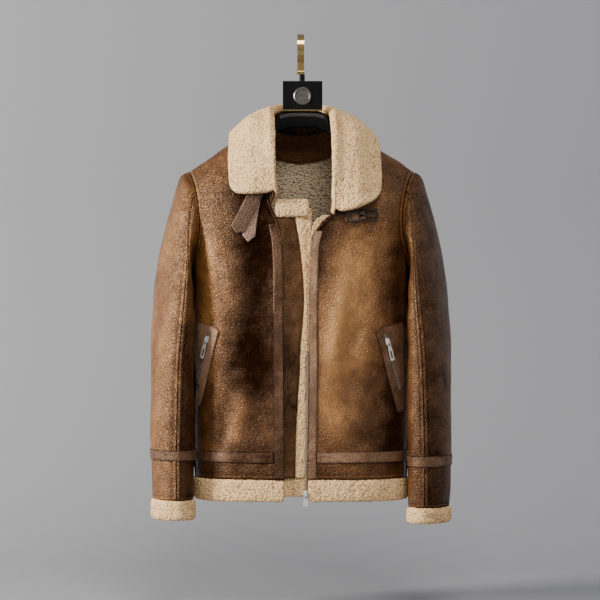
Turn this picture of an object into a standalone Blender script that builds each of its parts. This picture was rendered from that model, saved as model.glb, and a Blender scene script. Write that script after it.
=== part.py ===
"""A brown leather jacket with a cream fleece lining and collar, worn hollow on a plain hanger.

Sizes are millimetres until solid() turns them into metres. x runs to the wearer's left, y to the back, and "down" is
the distance below the inside top of the hanger's hook, which is the origin. Names end in r for the wearer's right
(x below 0) and l for the left. Every wall is a grid of outer points with its inner points moved in along the
normals, which neighbouring panels share, so that the panels meet edge to edge at their seams.
"""
import math

import bmesh
import bpy
import numpy as np
from mathutils import Vector
from mathutils.bvhtree import BVHTree

MM = 0.001
SEAM = 0.3
WALL = 5.0
TAPE_THICK = 1.4
LIFT = 0.6
FACING_LIFT = 0.8
THIN_REACH = 45.0
THIN_LEAST = 0.25
SIDES = {"r": -1, "l": 1}

# Body: outline of the hollow at each height. The side seam lies at side_y, behind the sleeve.
BODY = {
    "down": (150, 262, 357, 452, 560, 700, 853, 910),
    "half_width": (219, 219, 211, 208, 207, 206, 206, 206),
    "side_y": (0, 0, 6, 18, 28, 32, 34, 34),
    "front_y": (-76, -83, -88, -92, -93, -91, -89, -89),
    "back_y": (62, 70, 78, 84, 88, 90, 92, 92),
}
FRONT_SQUARENESS = 3.2
BACK_SQUARENESS = 2.8
SHOULDER_REACH = 130.0
SHOULDER_ROUNDNESS = 1.7
NECK_SIDE = (78.0, 170.0)
SHOULDER_TIP = (216.0, 262.0)
NECK_BACK_DOWN = 187.0
NECK_COLUMNS = (0, 0.28, 0.53, 0.74, 0.9)
PIT_DOWN = 452.0
ARMHOLE_HOLLOW = 20.0
ARMHOLE_ANGLES = (0, 13, 27, 40, 54, 74, 95, 116, 138, 159, 180)
SLEEVE_SEAM_COLUMN = 4
LOW_ROWS = (480, 512, 550, 595, 645, 700, 750, 793, 814, 845)
TAPE_ROWS = (793, 814)

# Front edges: x at each height, from the end of the neckline down.
FRONT_EDGE = {
    "r": {"down": (330, 348, 366, 396, 438, 560, 700, 845), "x": (56, 51, 41.5, 36, 33.6, 33, 32, 31)},
    "l": {"down": (343, 357, 378, 402, 434, 468, 657, 845), "x": (57, 36.6, 26, 20.4, 18.2, 16.8, 16.1, 13.3)},
}
FRONT_COLUMNS = 9
BAND_FIRST_ROW = 7
BAND_WIDTH = {"r": 19.0, "l": 15.5}
NECK_ROWS = {
    "r": (170, 186, 206, 231, 261, 294, 330, 366, 396, 424, 452),
    "l": (170, 187, 209, 236, 270, 307, 343, 378, 402, 428, 452),
}

# Largest folds of the body: a soft ridge (plus) or trough (minus) along a line, in x, down of the front and back.
FOLD_COLUMNS = ("face", "x0", "down0", "x1", "down1", "half_width", "height")
BODY_FOLDS = (
    (-1, -112, 690, -136, 790, 17, -6.0),
    (-1, -92, 640, -128, 815, 13, 4.0),
    (-1, -88, 330, -82, 640, 18, -4.5),
    (-1, 86, 430, 58, 700, 18, 5.0),
    (-1, 112, 520, 92, 760, 15, -5.0),
    (-1, 150, 470, 66, 830, 16, 4.0),
    (-1, -150, 420, -86, 600, 18, 4.0),
    (1, -120, 400, -60, 690, 24, -5.0),
    (1, 120, 410, 66, 700, 24, -5.0),
    (1, 0, 330, 4, 640, 30, 4.0),
    (1, -150, 700, -40, 770, 16, 3.5),
    (1, 150, 690, 50, 765, 16, 3.5),
)

# Sleeve: outermost and innermost point of each ring, half its depth, its middle's y and how far it turns forward.
SLEEVE = {
    "outer_x": (216, 233, 250, 263, 272, 279, 283, 285, 285.5, 284.5, 281.5),
    "outer_down": (262, 276, 334, 396, 455, 516, 577, 640, 720, 800, 884),
    "inner_x": (208, 210, 212, 212, 210, 208, 206, 205, 204, 204, 204),
    "inner_down": (452, 462, 474, 488, 508, 537, 580, 640, 720, 800, 884),
    "half_depth": (70, 75, 79, 80, 79, 77, 73, 68, 62, 56, 50),
    "mid_y": (0, -1, -4, -8, -12, -17, -22, -27, -33, -38, -42),
    "turn": (0, 5, 11, 16, 18, 18, 16, 14, 13, 12, 12),
    "armhole_share": (1, 0.72, 0.4, 0.16, 0.04, 0, 0, 0, 0, 0, 0),
}
SLEEVE_ROWS = (0, 0.5, 1, 1.6, 2.3, 3, 3.7, 4.4, 5.2, 6, 6.8, 7.4, 8, 8.5, 8.88, 9.12, 9.6, 10)
SLEEVE_TAPE_ROWS = (14, 15)
SLEEVE_LENGTHEN = {"r": 0.0, "l": 14.0}
ELBOW_ROW = 5.0
ARMPIT_CLEARING = 4.0
SLEEVE_WALL = 4.5
SLEEVE_SEAM_ANGLE = 90.0
RIDGE_HEIGHT = 1.5
RIDGE_WIDTHS = (5.0, 7.5)
# Troughs across the sleeve where it bends: row, angle round the ring, half the angle that it covers, depth.
SLEEVE_FOLDS = ((4.6, 150, 55, 3.5), (5.6, 35, 50, 3.0), (6.3, 200, 60, 3.5), (7.4, 60, 45, 2.5), (5.2, 300, 50, 3.0))
SLEEVE_FOLD_ROWS = 0.28

# Fleece cuffs and hem: a rounded band below the leather's edge.
CUFF_HEIGHT = {"r": 38.0, "l": 30.0}
FLEECE_THICK = 13.0
HEM_HEIGHT = 42.0

# Collar: points of the roll line, the middle of the leaf and its free edge at stations along the neckline, which runs
# from 0 at the front end by 1 at the shoulder to 2 at the middle of the back.
COLLAR_COLUMNS = ("neck", "roll_x", "roll_y", "roll_down", "mid_x", "mid_y", "mid_down", "edge_x", "edge_y", "edge_down")
COLLAR = {
    "r": (
        (0.00, 51, -100, 303, 93, -101, 309, 133, -85, 307),
        (0.30, 55, -95, 248, 96, -85, 250, 137, -63, 254),
        (0.62, 57, -73, 198, 97, -54, 199, 137, -28, 209),
        (0.85, 59, -37, 160, 99, -24, 167, 136, -6, 195),
        (1.00, 60, 2, 143, 98, 8, 158, 134, 12, 194),
        (1.35, 48, 38, 135, 82, 44, 153, 107, 58, 206),
        (1.70, 26, 57, 131, 44, 77, 168, 56, 84, 230),
    ),
    "back": ((2.00, 0, 62, 130, 0, 84, 172, 0, 88, 238),),
    "l": (
        (0.00, 65, -99, 338, 109, -106, 335, 151, -83, 313),
        (0.30, 66, -95, 278, 110, -86, 271, 152, -58, 262),
        (0.62, 66, -74, 214, 108, -56, 204, 148, -24, 212),
        (0.85, 64, -37, 164, 105, -22, 170, 143, -3, 198),
        (1.00, 62, 2, 145, 101, 10, 160, 138, 14, 198),
        (1.35, 50, 38, 136, 83, 45, 155, 109, 60, 208),
        (1.70, 28, 57, 132, 45, 78, 169, 57, 85, 231),
    ),
}
COLLAR_TURN = 7.5
COLLAR_DROP = 9.0
COLLAR_THICK = (5.0, 9.0, 10.0, 10.0, 11.0, 9.0)
COLLAR_SECTIONS = 33
COLLAR_AROUND = 11
COLLAR_FOOT = 1.4

# Underlap behind the image-left front, with its fleece.
STRIP_EDGE = {
    "down": (350, 372, 402, 434, 468, 536, 583, 639, 658, 744, 845),
    "x": (-12.2, -8.1, -3, 0.4, 3.6, 4.5, -0.6, -2.8, -3.9, -9.2, -11.4),
}
PLACKET_LEFT = -54.0
FRONT_R_EDGE = -33.0
UNDERLAP_BACK = -78.5
UNDERLAP_CLEAR = 1.4
STRIP_RIGHT = 20.0
ROLL = {"x": (-48.0, 14.0), "y": -89.0, "down": 318.0, "height": 33.3}
PLACKET_HEM = {"x": (-50.0, 27.0), "y": -77.2, "down": 842.6, "height": 36.0}
PLACKET_ROWS = (352, 372, 396, 424, 452, 480, 512, 550, 595, 645, 700, 750, 793, 818, 843)

# Pockets: each welt's edge towards the front, how wide it is and how far from that edge its zip runs.
POCKET = {
    "r": {"top": (-152.8, 560), "bottom": (-189.4, 710), "width": 42.0, "zip": 15.5},
    "l": {"top": (138.8, 562), "bottom": (180.4, 722), "width": 52.0, "zip": 14.5},
}
POCKET_LENGTH_STEPS = 12
POCKET_CORNER = 7.0
POCKET_FAR = 196.0
POCKET_MARGIN = 1.5
WELT_THICK = 2.0
WELT_LIFT = 1.5
ZIP_WIDTH = 5.0
ZIP_THICK = 0.8
SLIDER_LIFT = 0.6

# Sliders and pulls, in each slider's own frame: bridge hole as length, height.
SLIDER_HEIGHT = 2.4
BRIDGE_HOLE = (3.6, 3.2)
BRIDGE_WALL = 1.0
PULL_HALF_WIDTH = 3.9
PULL_THICK = 1.4
PULL_REST_DROP = 2.4
POCKET_PULL_LENGTH = 38.0
FRONT_PULL_LENGTH = 24.0
FRONT_SLIDER = (8.4, 871.0)

# Buckle: where its bar lies on the front, how far the strap rises to the side, and its pieces' sizes.
BUCKLE = {
    "bar": (116.0, 349.0), "rise": 8.5, "tab": 34.0, "fold": 22.0, "tab_width": 14.0, "leather": 1.6,
    "wire": 2.6, "frame_width": 20.5, "frame_length": 28.0, "keeper": (-31.0, -7.0), "clear": 0.45,
}

# Hardware.
HANGER_X = 2.5
HANGER = {
    "x": (0, 26, 42, 54, 78, 99, 120, 140, 160, 176, 186, 192),
    "top": (145.2, 145.8, 149.5, 166, 178, 190, 204, 218, 231, 243, 250, 258),
    "height": (31.8, 33.2, 35.5, 25, 26, 27, 28, 28, 27, 26, 24, 14),
    "half_depth": (8, 8, 8.5, 9, 10, 10.5, 11, 11, 11, 10.5, 9, 3),
}
HANGER_RESTS_FROM = 70.0
PLATE = {"x": (-35.0, 41.0), "down": (88.0, 142.6), "y": (-10.0, -1.0)}
HOOK_RADIUS = 25.5
HOOK_WIDTH = 13.0
HOOK_THICK = 3.0

COLOURS = {
    "leather": ((0.30, 0.13, 0.045), 0.45, 0.0),
    "tape": ((0.34, 0.18, 0.10), 0.5, 0.0),
    "fleece": ((0.78, 0.66, 0.49), 0.95, 0.0),
    "dark_strap": ((0.12, 0.07, 0.045), 0.6, 0.0),
    "light_strap": ((0.42, 0.27, 0.21), 0.7, 0.0),
    "black_plastic": ((0.015, 0.015, 0.016), 0.3, 0.0),
    "black_metal": ((0.02, 0.02, 0.02), 0.3, 1.0),
    "silver": ((0.75, 0.74, 0.72), 0.25, 1.0),
    "brass": ((0.62, 0.47, 0.20), 0.28, 1.0),
    "zip_cloth": ((0.11, 0.06, 0.035), 0.8, 0.0),
}


# ---------------------------------------------------------------- numbers and meshes


def smooth(places, values, at):
    """The value at a place on the smooth curve through values, held at its ends beyond them."""
    places, values = np.asarray(places, float), np.asarray(values, float)
    at = np.clip(np.asarray(at, float), places[0], places[-1])
    slopes = np.gradient(values, places, axis=0)
    i = np.clip(np.searchsorted(places, at, side="right") - 1, 0, len(places) - 2)
    step = places[i + 1] - places[i]
    t = (at - places[i]) / step
    if values.ndim > 1:
        t, step = t[..., None], step[..., None]
    start = (1 + 2 * t) * (1 - t) ** 2 * values[i] + t * (1 - t) ** 2 * step * slopes[i]
    return start + t * t * (3 - 2 * t) * values[i + 1] + t * t * (t - 1) * step * slopes[i + 1]


def unit(vectors):
    length = np.linalg.norm(vectors, axis=-1, keepdims=True)
    return vectors / np.maximum(length, 1e-9)


def material(name):
    found = bpy.data.materials.get(name)
    if found:
        return found
    colour, roughness, metallic = COLOURS[name]
    made = bpy.data.materials.new(name)
    made.use_nodes = True
    shader = made.node_tree.nodes["Principled BSDF"]
    shader.inputs["Base Color"].default_value = (*colour, 1)
    shader.inputs["Roughness"].default_value = roughness
    shader.inputs["Metallic"].default_value = metallic
    return made


def solid(name, points, faces, look, pivot=(0, 0, 0)):
    """An object from points in x, y, down, with its faces turned out and its origin at the pivot."""
    made = bmesh.new()
    vertices = [made.verts.new((x * MM, y * MM, -down * MM)) for x, y, down in points]
    for face in faces:
        made.faces.new([vertices[i] for i in face])
    origin = Vector((pivot[0] * MM, pivot[1] * MM, -pivot[2] * MM))
    bmesh.ops.translate(made, verts=made.verts, vec=-origin)
    bmesh.ops.recalc_face_normals(made, faces=made.faces)
    if made.calc_volume(signed=True) < 0:
        bmesh.ops.reverse_faces(made, faces=made.faces)
    mesh = bpy.data.meshes.new(name)
    made.to_mesh(mesh)
    made.free()
    mesh.shade_smooth()
    mesh.set_sharp_from_angle(angle=math.radians(40))
    mesh.materials.append(material(look))
    body = bpy.data.objects.new(name, mesh)
    body.location = origin
    bpy.context.scene.collection.objects.link(body)
    return body


def wall(name, outer, inner, look, ring=False):
    """A solid between two grids of points. A ring's last column joins its first.

    Each quad is split along a diagonal that depends only on its place, so that the walls of two pieces that lie 0.3 mm
    apart are split alike and don't cross.
    """
    rows, columns = outer.shape[:2]
    points = np.concatenate([outer.reshape(-1, 3), inner.reshape(-1, 3)])
    inside = rows * columns
    place = points @ np.array([0.0, 0.11, 1.0]) + 0.37 * np.abs(points[:, 0])

    def at(row, column, layer=0):
        return layer * inside + row * columns + column % columns

    across = columns if ring else columns - 1
    faces = []
    for row in range(rows - 1):
        for column in range(across):
            for layer in (0, 1):
                a, b = at(row, column, layer), at(row, column + 1, layer)
                c, d = at(row + 1, column + 1, layer), at(row + 1, column, layer)
                faces += [[a, b, c], [a, c, d]] if abs(points[a, 0]) < abs(points[b, 0]) else [[a, b, d], [b, c, d]]
    ends = [(at(0, k), at(0, k + 1)) for k in range(across)] + [(at(rows - 1, k), at(rows - 1, k + 1)) for k in range(across)]
    if not ring:
        ends += [(at(row, 0), at(row + 1, 0)) for row in range(rows - 1)]
        ends += [(at(row, across), at(row + 1, across)) for row in range(rows - 1)]
    for a, b in ends:
        if place[a] < place[b]:
            a, b = b, a
        faces += [[a, b, b + inside], [a, b + inside, a + inside]]
    return solid(name, points, faces, look)


def tube(name, sections, look, closed=False):
    """A solid through rings of points; it has flat ends unless it closes on itself."""
    sections = np.asarray(sections, float)
    rings, around = sections.shape[:2]
    faces = []
    for ring in range(rings if closed else rings - 1):
        after = (ring + 1) % rings
        for k in range(around):
            nxt = (k + 1) % around
            faces.append([ring * around + k, ring * around + nxt, after * around + nxt, after * around + k])
    if not closed:
        faces.append(list(range(around))[::-1])
        faces.append([(rings - 1) * around + k for k in range(around)])
    return solid(name, sections.reshape(-1, 3), faces, look)


def box(name, x, y, down, look, bevel=0.0, pivot=(0, 0, 0)):
    points = [(px, py, pd) for px in x for py in y for pd in down]
    faces = [(0, 1, 3, 2), (4, 6, 7, 5), (0, 4, 5, 1), (2, 3, 7, 6), (0, 2, 6, 4), (1, 5, 7, 3)]
    made = solid(name, points, faces, look, pivot)
    if bevel:
        edge = made.modifiers.new("Bevel", "BEVEL")
        edge.width = bevel * MM
        edge.segments = 2
    return made


# ---------------------------------------------------------------- the shape of the garment


def shoulder_down(x):
    """Height of the shoulder seam, carried on to the middle of the neck."""
    slope = (SHOULDER_TIP[1] - NECK_SIDE[1]) / (SHOULDER_TIP[0] - NECK_SIDE[0])
    return NECK_SIDE[1] + slope * (np.abs(x) - NECK_SIDE[0])


def fold_height(x, down, face):
    """How far the folds lift the surface, which fades out towards the shoulders and the hem tape."""
    lift = np.zeros(np.broadcast(x, down).shape)
    for row in BODY_FOLDS:
        fold = dict(zip(FOLD_COLUMNS, row))
        if fold["face"] != face:
            continue
        along = np.array([fold["x1"] - fold["x0"], fold["down1"] - fold["down0"]], float)
        length = np.hypot(*along)
        along /= length
        dx, dd = x - fold["x0"], down - fold["down0"]
        place = (dx * along[0] + dd * along[1]) / length
        off = (dx * along[1] - dd * along[0]) / fold["half_width"]
        ends = np.clip(place / 0.3, 0, 1) * np.clip((1 - place) / 0.3, 0, 1)
        lift = lift + fold["height"] * np.exp(-off * off) * ends * ends * (3 - 2 * ends)
    return lift


def shell_y(x, down, face):
    """Depth of the body's outer surface, the front for face -1 and the back for face 1."""
    x, down = np.asarray(x, float), np.asarray(down, float)
    half = smooth(BODY["down"], BODY["half_width"], down)
    side = smooth(BODY["down"], BODY["side_y"], down)
    far = smooth(BODY["down"], BODY["front_y" if face < 0 else "back_y"], down)
    squareness = FRONT_SQUARENESS if face < 0 else BACK_SQUARENESS
    across = np.clip(np.abs(x) / half, 0, 1)
    round_off = (1 - across**squareness) ** (1 / squareness)
    below = np.clip((down - shoulder_down(x)) / SHOULDER_REACH, 0, 1)
    rise = (1 - (1 - below) ** SHOULDER_ROUNDNESS) ** (1 / SHOULDER_ROUNDNESS)
    flat = np.clip((1 - across) * 5, 0, 1)
    return side + (far - side) * round_off * rise + face * fold_height(x, down, face) * flat


def armhole():
    """x and down of the armhole, from the shoulder's tip to the armpit, the same at the front and back."""
    angle = np.radians(ARMHOLE_ANGLES)
    share = (1 - np.cos(angle)) / 2
    pit_x = float(smooth(BODY["down"], BODY["half_width"], PIT_DOWN))
    power = np.where(angle < math.pi / 2, 1.4, 3.0)
    x = SHOULDER_TIP[0] * (1 - share) + pit_x * share - ARMHOLE_HOLLOW * np.abs(np.sin(angle)) ** power
    x[-1] = pit_x
    return np.stack([x, SHOULDER_TIP[1] * (1 - share) + PIT_DOWN * share], axis=-1)


def side_line():
    """x and down of the outer edge of a front or back: armhole, then side seam."""
    low = np.array(LOW_ROWS, float)
    seam = np.stack([smooth(BODY["down"], BODY["half_width"], low), low], axis=-1)
    return np.concatenate([armhole(), seam])


def neckline_x(down, side):
    """Half the width of the front neckline, a soft curve from the shoulder to the top of the front edge."""
    end = FRONT_EDGE[side]
    t = np.clip((down - NECK_SIDE[1]) / (end["down"][0] - NECK_SIDE[1]), 0, 1)
    return NECK_SIDE[0] + (end["x"][0] - NECK_SIDE[0]) * t + 4.0 * np.sin(math.pi * t)


def front_line(side):
    """x (before its sign) and down of a front's inner edge: neckline, then front edge."""
    downs = np.array(NECK_ROWS[side] + LOW_ROWS, float)
    edge = FRONT_EDGE[side]
    sign = SIDES[side]
    on_edge = smooth(edge["down"], edge["x"], downs)
    x = np.where(downs < edge["down"][0], neckline_x(downs, side), on_edge)
    return np.stack([x if sign else x, downs], axis=-1)


def seam_shares(count, row_count):
    """Shares of the way from the middle to the side: even at the armhole, closer together where the side rounds away."""
    t = np.linspace(0, 1, count + 1)[None]
    low = np.clip(np.arange(row_count) / (len(ARMHOLE_ANGLES) - 1), 0, 1)[:, None] ** 2
    return t * (1 - low) + np.sin(t * math.pi / 2) ** 0.9 * low


def front_grid(side):
    """Outer points of a front: the first column of quads is the stitched edge band."""
    inner, outer = front_line(side), side_line()
    band = inner.copy()
    band[:, 0] += BAND_WIDTH[side]
    slope = (SHOULDER_TIP[1] - NECK_SIDE[1]) / (SHOULDER_TIP[0] - NECK_SIDE[0])
    band[0, 1] += slope * BAND_WIDTH[side]
    shares = seam_shares(FRONT_COLUMNS, len(outer))[..., None]
    body = band[:, None] * (1 - shares) + outer[:, None] * shares
    flat = np.concatenate([inner[:, None], body], axis=1)
    x, down = flat[..., 0], flat[..., 1]
    return np.stack([SIDES[side] * x, shell_y(x * SIDES[side], down, -1), down], axis=-1)


def back_grid():
    """Outer points of the back, from the wearer's right to the left, on the fronts' shoulder and side points."""
    outer = side_line()
    halves = []
    for side in ("r", "l"):
        shoulder = front_grid(side)[0, :, ::2]
        middle = np.zeros_like(outer)
        middle[:, 1] = outer[:, 1]
        drop = np.linspace(0, 1, len(ARMHOLE_ANGLES))
        middle[: len(ARMHOLE_ANGLES), 1] = NECK_BACK_DOWN + (PIT_DOWN - NECK_BACK_DOWN) * drop
        neck_t = np.array(NECK_COLUMNS)
        neck = np.stack([NECK_SIDE[0] * neck_t, NECK_BACK_DOWN - 17.0 * neck_t**2.4], axis=-1)
        top = np.concatenate([neck, np.abs(shoulder)])
        reach = top[:, 0] / SHOULDER_TIP[0]
        low_share = seam_shares(len(top) - 1, len(outer))[-1]
        rows = []
        for row, (edge, centre) in enumerate(zip(outer, middle)):
            blend = min(row / (len(ARMHOLE_ANGLES) - 1), 1.0)
            share = reach * (1 - blend) + low_share * blend
            line = centre * (1 - share[:, None]) + edge * share[:, None]
            sag = top - (middle[0] * (1 - reach[:, None]) + outer[0] * reach[:, None])
            rows.append(line + sag * (1 - blend) ** 1.5)
        flat = np.array(rows)
        x, down = SIDES[side] * flat[..., 0], flat[..., 1]
        halves.append(np.stack([x, shell_y(x, down, 1), down], axis=-1))
    return np.concatenate([halves[0][:, ::-1], halves[1][:, 1:]], axis=1)


def armhole_ring(side):
    """Points round the armhole: front half from the tip to the armpit, then the back half up again."""
    path = armhole()
    x = SIDES[side] * path[:, 0]
    front = np.stack([x, shell_y(x, path[:, 1], -1), path[:, 1]], axis=-1)
    back = np.stack([x, shell_y(x, path[:, 1], 1), path[:, 1]], axis=-1)
    return np.concatenate([front, back[-2:0:-1]])


def sleeve_grid(side):
    """Outer points of a sleeve, a row for each ring, its columns round from the shoulder by the front."""
    sign = SIDES[side]
    rows = np.array(SLEEVE_ROWS)
    index = np.arange(len(SLEEVE["outer_x"]))
    at = {name: smooth(index, column, rows)[:, None] for name, column in SLEEVE.items()}
    lengthen = SLEEVE_LENGTHEN[side] * np.clip((rows - ELBOW_ROW) / (index[-1] - ELBOW_ROW), 0, 1)[:, None]
    first = np.radians(np.array(ARMHOLE_ANGLES, float))
    seam = first[SLEEVE_SEAM_COLUMN]
    spread = np.interp(first, (0, seam, math.pi), (0, math.radians(SLEEVE_SEAM_ANGLE), math.pi))
    turned = np.clip(rows / 2.5, 0, 1)[:, None]
    half = first * (1 - turned) + spread * turned
    angle = np.concatenate([half, 2 * math.pi - half[:, -2:0:-1]], axis=1)

    def ring(outer_x, outer_down, inner_x, inner_down, depth, mid, turn):
        lean = np.radians(turn)
        x = (outer_x + inner_x) / 2 + (outer_x - inner_x) / 2 * np.cos(angle) - depth * np.sin(lean) * np.sin(angle)
        y = mid - depth * np.cos(lean) * np.sin(angle)
        down = (outer_down + inner_down) / 2 + (outer_down - inner_down) / 2 * np.cos(angle)
        return np.stack([sign * x, y, down], axis=-1)

    names = ("outer_x", "outer_down", "inner_x", "inner_down", "half_depth", "mid_y", "turn")
    grid = ring(*[at[name] for name in names])
    start = ring(*[np.full_like(at[name], SLEEVE[name][0]) for name in names])
    under = np.clip(-np.cos(angle), 0, 1)
    share = np.clip(at["armhole_share"], 0, 1) ** (1 + ARMPIT_CLEARING * under)
    grid += share[..., None] * (armhole_ring(side)[None] - start)
    grid[0] = armhole_ring(side)
    grid[..., 2] += lengthen
    middle = grid.mean(axis=1, keepdims=True)
    dent = np.zeros(angle.shape)
    for row, where, half_angle, depth in SLEEVE_FOLDS:
        apart = (np.degrees(angle) - where + 180) % 360 - 180
        dent += depth * np.exp(-(((rows[:, None] - row) / SLEEVE_FOLD_ROWS) ** 2) - (apart / half_angle) ** 2)
    return grid - unit(grid - middle) * dent[..., None]


def shared_normals(grids, rings):
    """Outward normals at the points of all grids, averaged where panels meet.

    At the armpit the sleeve folds back on the body, so a panel keeps its own normal where the average turns too far away.
    """
    total = {}

    def key(point):
        return tuple(np.round(point, 2))

    alone = []
    for grid, is_ring in zip(grids, rings):
        rows, columns = grid.shape[:2]
        own = np.zeros(grid.shape)
        for row in range(rows - 1):
            for column in range(columns if is_ring else columns - 1):
                after = (column + 1) % columns
                corners = ((row, column), (row, after), (row + 1, after), (row + 1, column))
                normal = np.cross(grid[corners[2]] - grid[corners[0]], grid[corners[3]] - grid[corners[1]])
                for corner in corners:
                    total[key(grid[corner])] = total.get(key(grid[corner]), 0) + normal
                    own[corner] += normal
        alone.append(unit(own))
    made = []
    for grid, own in zip(grids, alone):
        shared = unit(np.array([[total[key(point)] for point in row] for row in grid]))
        agree = np.clip((np.sum(own * shared, axis=-1, keepdims=True) - 0.3) / 0.4, 0, 1)
        made.append(unit(shared * agree + own * (1 - agree)))
    return made


def edge_gap(grid, gap=SEAM / 2):
    """The grid with its edges drawn in by half a seam's gap, along the panel."""
    drawn = grid.copy()
    drawn[0] += gap * unit(grid[1] - grid[0])
    drawn[-1] += gap * unit(grid[-2] - grid[-1])
    drawn[:, 0] += gap * unit(grid[:, 1] - grid[:, 0])
    drawn[:, -1] += gap * unit(grid[:, -2] - grid[:, -1])
    return drawn


def ridged(grid, normals):
    """Raises both long edges of a sleeve piece into the ridge beside its seam."""
    for flip in (False, True):
        if flip:
            grid, normals = grid[:, ::-1], normals[:, ::-1]
        step = np.linalg.norm(grid[:, 1] - grid[:, 0], axis=-1, keepdims=True)
        columns, turned = [grid[:, 0]], [normals[:, 0]]
        for width in RIDGE_WIDTHS:
            share = np.clip(width / step, 0, 0.8)
            columns.append(grid[:, 0] * (1 - share) + grid[:, 1] * share)
            turned.append(unit(normals[:, 0] * (1 - share) + normals[:, 1] * share))
        grid = np.concatenate([np.stack(columns, axis=1), grid[:, 1:]], axis=1)
        normals = np.concatenate([np.stack(turned, axis=1), normals[:, 1:]], axis=1)
        grid[1:, :2] += RIDGE_HEIGHT * normals[1:, :2]
    return grid[:, ::-1], normals[:, ::-1]


# ---------------------------------------------------------------- cloth pieces


def thinned(grid):
    """Share of the wall's full thickness: less where three or four panels meet at the shoulder's tip and the armpit."""
    share = np.ones(grid.shape[:2])
    for sign in SIDES.values():
        pit_x = float(smooth(BODY["down"], BODY["half_width"], PIT_DOWN))
        pit_y = float(smooth(BODY["down"], BODY["side_y"], PIT_DOWN))
        for corner in ((sign * SHOULDER_TIP[0], 0, SHOULDER_TIP[1]), (sign * pit_x, pit_y, PIT_DOWN)):
            near = np.linalg.norm(grid - corner, axis=-1) / THIN_REACH
            share = np.minimum(share, THIN_LEAST + (1 - THIN_LEAST) * np.clip(near, 0, 1))
    return share[..., None]


def panel(name, grid, normals, thick=WALL, look="leather", ridge=False):
    drawn = edge_gap(grid)
    inner = drawn - thick * thinned(grid) * normals
    if ridge:
        drawn, turned = ridged(drawn, normals)
        inner, _ = ridged(inner, normals * 0)
    return wall(name, drawn, inner, look)


def on_panel(name, grid, normals, look="tape", lift=LIFT, thick=TAPE_THICK, ring=False, inside=0.0):
    """A thin piece over part of a panel's grid, moved out by lift, or in past the wall where inside is given."""
    if inside:
        base = grid - normals * (inside + lift)
        return wall(name, base, base - normals * thick, look, ring)
    base = grid + normals * lift
    return wall(name, base + normals * thick, base, look, ring)


def fleece_band(name, top_points, height, thick, ring=False, out=2.0):
    """A puffed fleece band hanging below an edge: a rounded section of height and thick at each point of the edge."""
    top_points = np.asarray(top_points, float)
    if ring:
        along = np.roll(top_points, -1, axis=0) - np.roll(top_points, 1, axis=0)
    else:
        along = np.gradient(top_points, axis=0)
    along[:, 2] = 0
    outward = unit(np.stack([along[:, 1], -along[:, 0], along[:, 2]], axis=-1))
    middle = top_points[:, :2].mean(axis=0)
    facing = np.sum(outward[:, :2] * (top_points[:, :2] - middle), axis=-1)
    if ring:
        outward *= np.where(facing < 0, -1, 1)[:, None]
    elif facing.sum() < 0:
        outward *= -1
    if not ring:
        for end in (0, -1):
            axis = np.abs(outward[end]).argmax()
            outward[end] = np.sign(outward[end, axis]) * np.eye(3)[axis]
    section = []
    for turn in np.radians(np.arange(8) * 45 + 22.5):
        side = math.copysign(abs(math.cos(turn)) ** 0.75, math.cos(turn)) * thick / 2
        drop = (0.5 - math.copysign(abs(math.sin(turn)) ** 0.45, math.sin(turn)) / 2) * height
        section.append((side, drop))
    top = min(drop for _, drop in section)
    rings = []
    for point, out_dir in zip(top_points, outward):
        centre = point - out_dir * (thick / 2 - out)
        rings.append([centre + out_dir * side + np.array([0, 0, drop - top]) for side, drop in section])
    return tube(name, rings, "fleece", closed=ring)


def draped_strip(name, surface, centre_line, widths, lift, thick, look, across_steps=2, tip=0.0):
    """A ribbon laid on a front: it follows the panel below it at the given lift."""
    centre_line = np.asarray(centre_line, float)
    along = unit(np.gradient(centre_line, axis=0))
    across = np.stack([along[:, 1], -along[:, 0]], axis=-1)
    shares = np.linspace(-0.5, 0.5, across_steps + 1)
    rows = []
    for index, (point, side, width) in enumerate(zip(centre_line, across, widths)):
        row = []
        for share in shares:
            place = point + side * share * width
            if tip and index == len(centre_line) - 1:
                place = place + along[index] * tip * (0.5 - abs(share)) * 2
            row.append((place[0], surface_y(surface, *place), place[1]))
        rows.append(row)
    under = np.array(rows)
    under[..., 1] -= lift
    over = under.copy()
    over[..., 1] -= thick
    return wall(name, over, under, look)


def surface_tree(*bodies):
    points, faces = [], []
    for body in bodies:
        faces += [[len(points) + i for i in face.vertices] for face in body.data.polygons]
        points += [vertex.co + body.location for vertex in body.data.vertices]
    return BVHTree.FromPolygons(points, faces)


def inner_y(tree, x, down):
    """Depth of a front's inner face at x and down."""
    hit = tree.ray_cast(Vector((x * MM, 0, -down * MM)), Vector((0, -1, 0)))
    return hit[0].y / MM if hit[0] is not None else float(shell_y(x, down, -1)) + WALL


def surface_y(tree, x, down):
    """Depth of a front's outer face at x and down; off the panel it is the nearest height that hits."""
    hit = tree.ray_cast(Vector((x * MM, -1.0, -down * MM)), Vector((0, 1, 0)))
    if hit[0] is None:
        return float(shell_y(x, down, -1))
    return hit[0].y / MM


def neck_point(side, place):
    """Point of the neckline: 0 at the front end, 1 at the shoulder, 2 at the middle of the back."""
    if side == "back":
        side = "l"
    sign = SIDES[side]
    if place <= 1:
        end = FRONT_EDGE[side]["down"][0]
        down = end + (NECK_SIDE[1] - end) * place
        x = sign * float(neckline_x(down, side))
        return np.array([x, float(shell_y(x, down, -1)), down])
    x = sign * NECK_SIDE[0] * (2 - place)
    down = NECK_BACK_DOWN - 17.0 * (2 - place) ** 2.4
    return np.array([x, float(shell_y(x, down, 1)), down])


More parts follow.
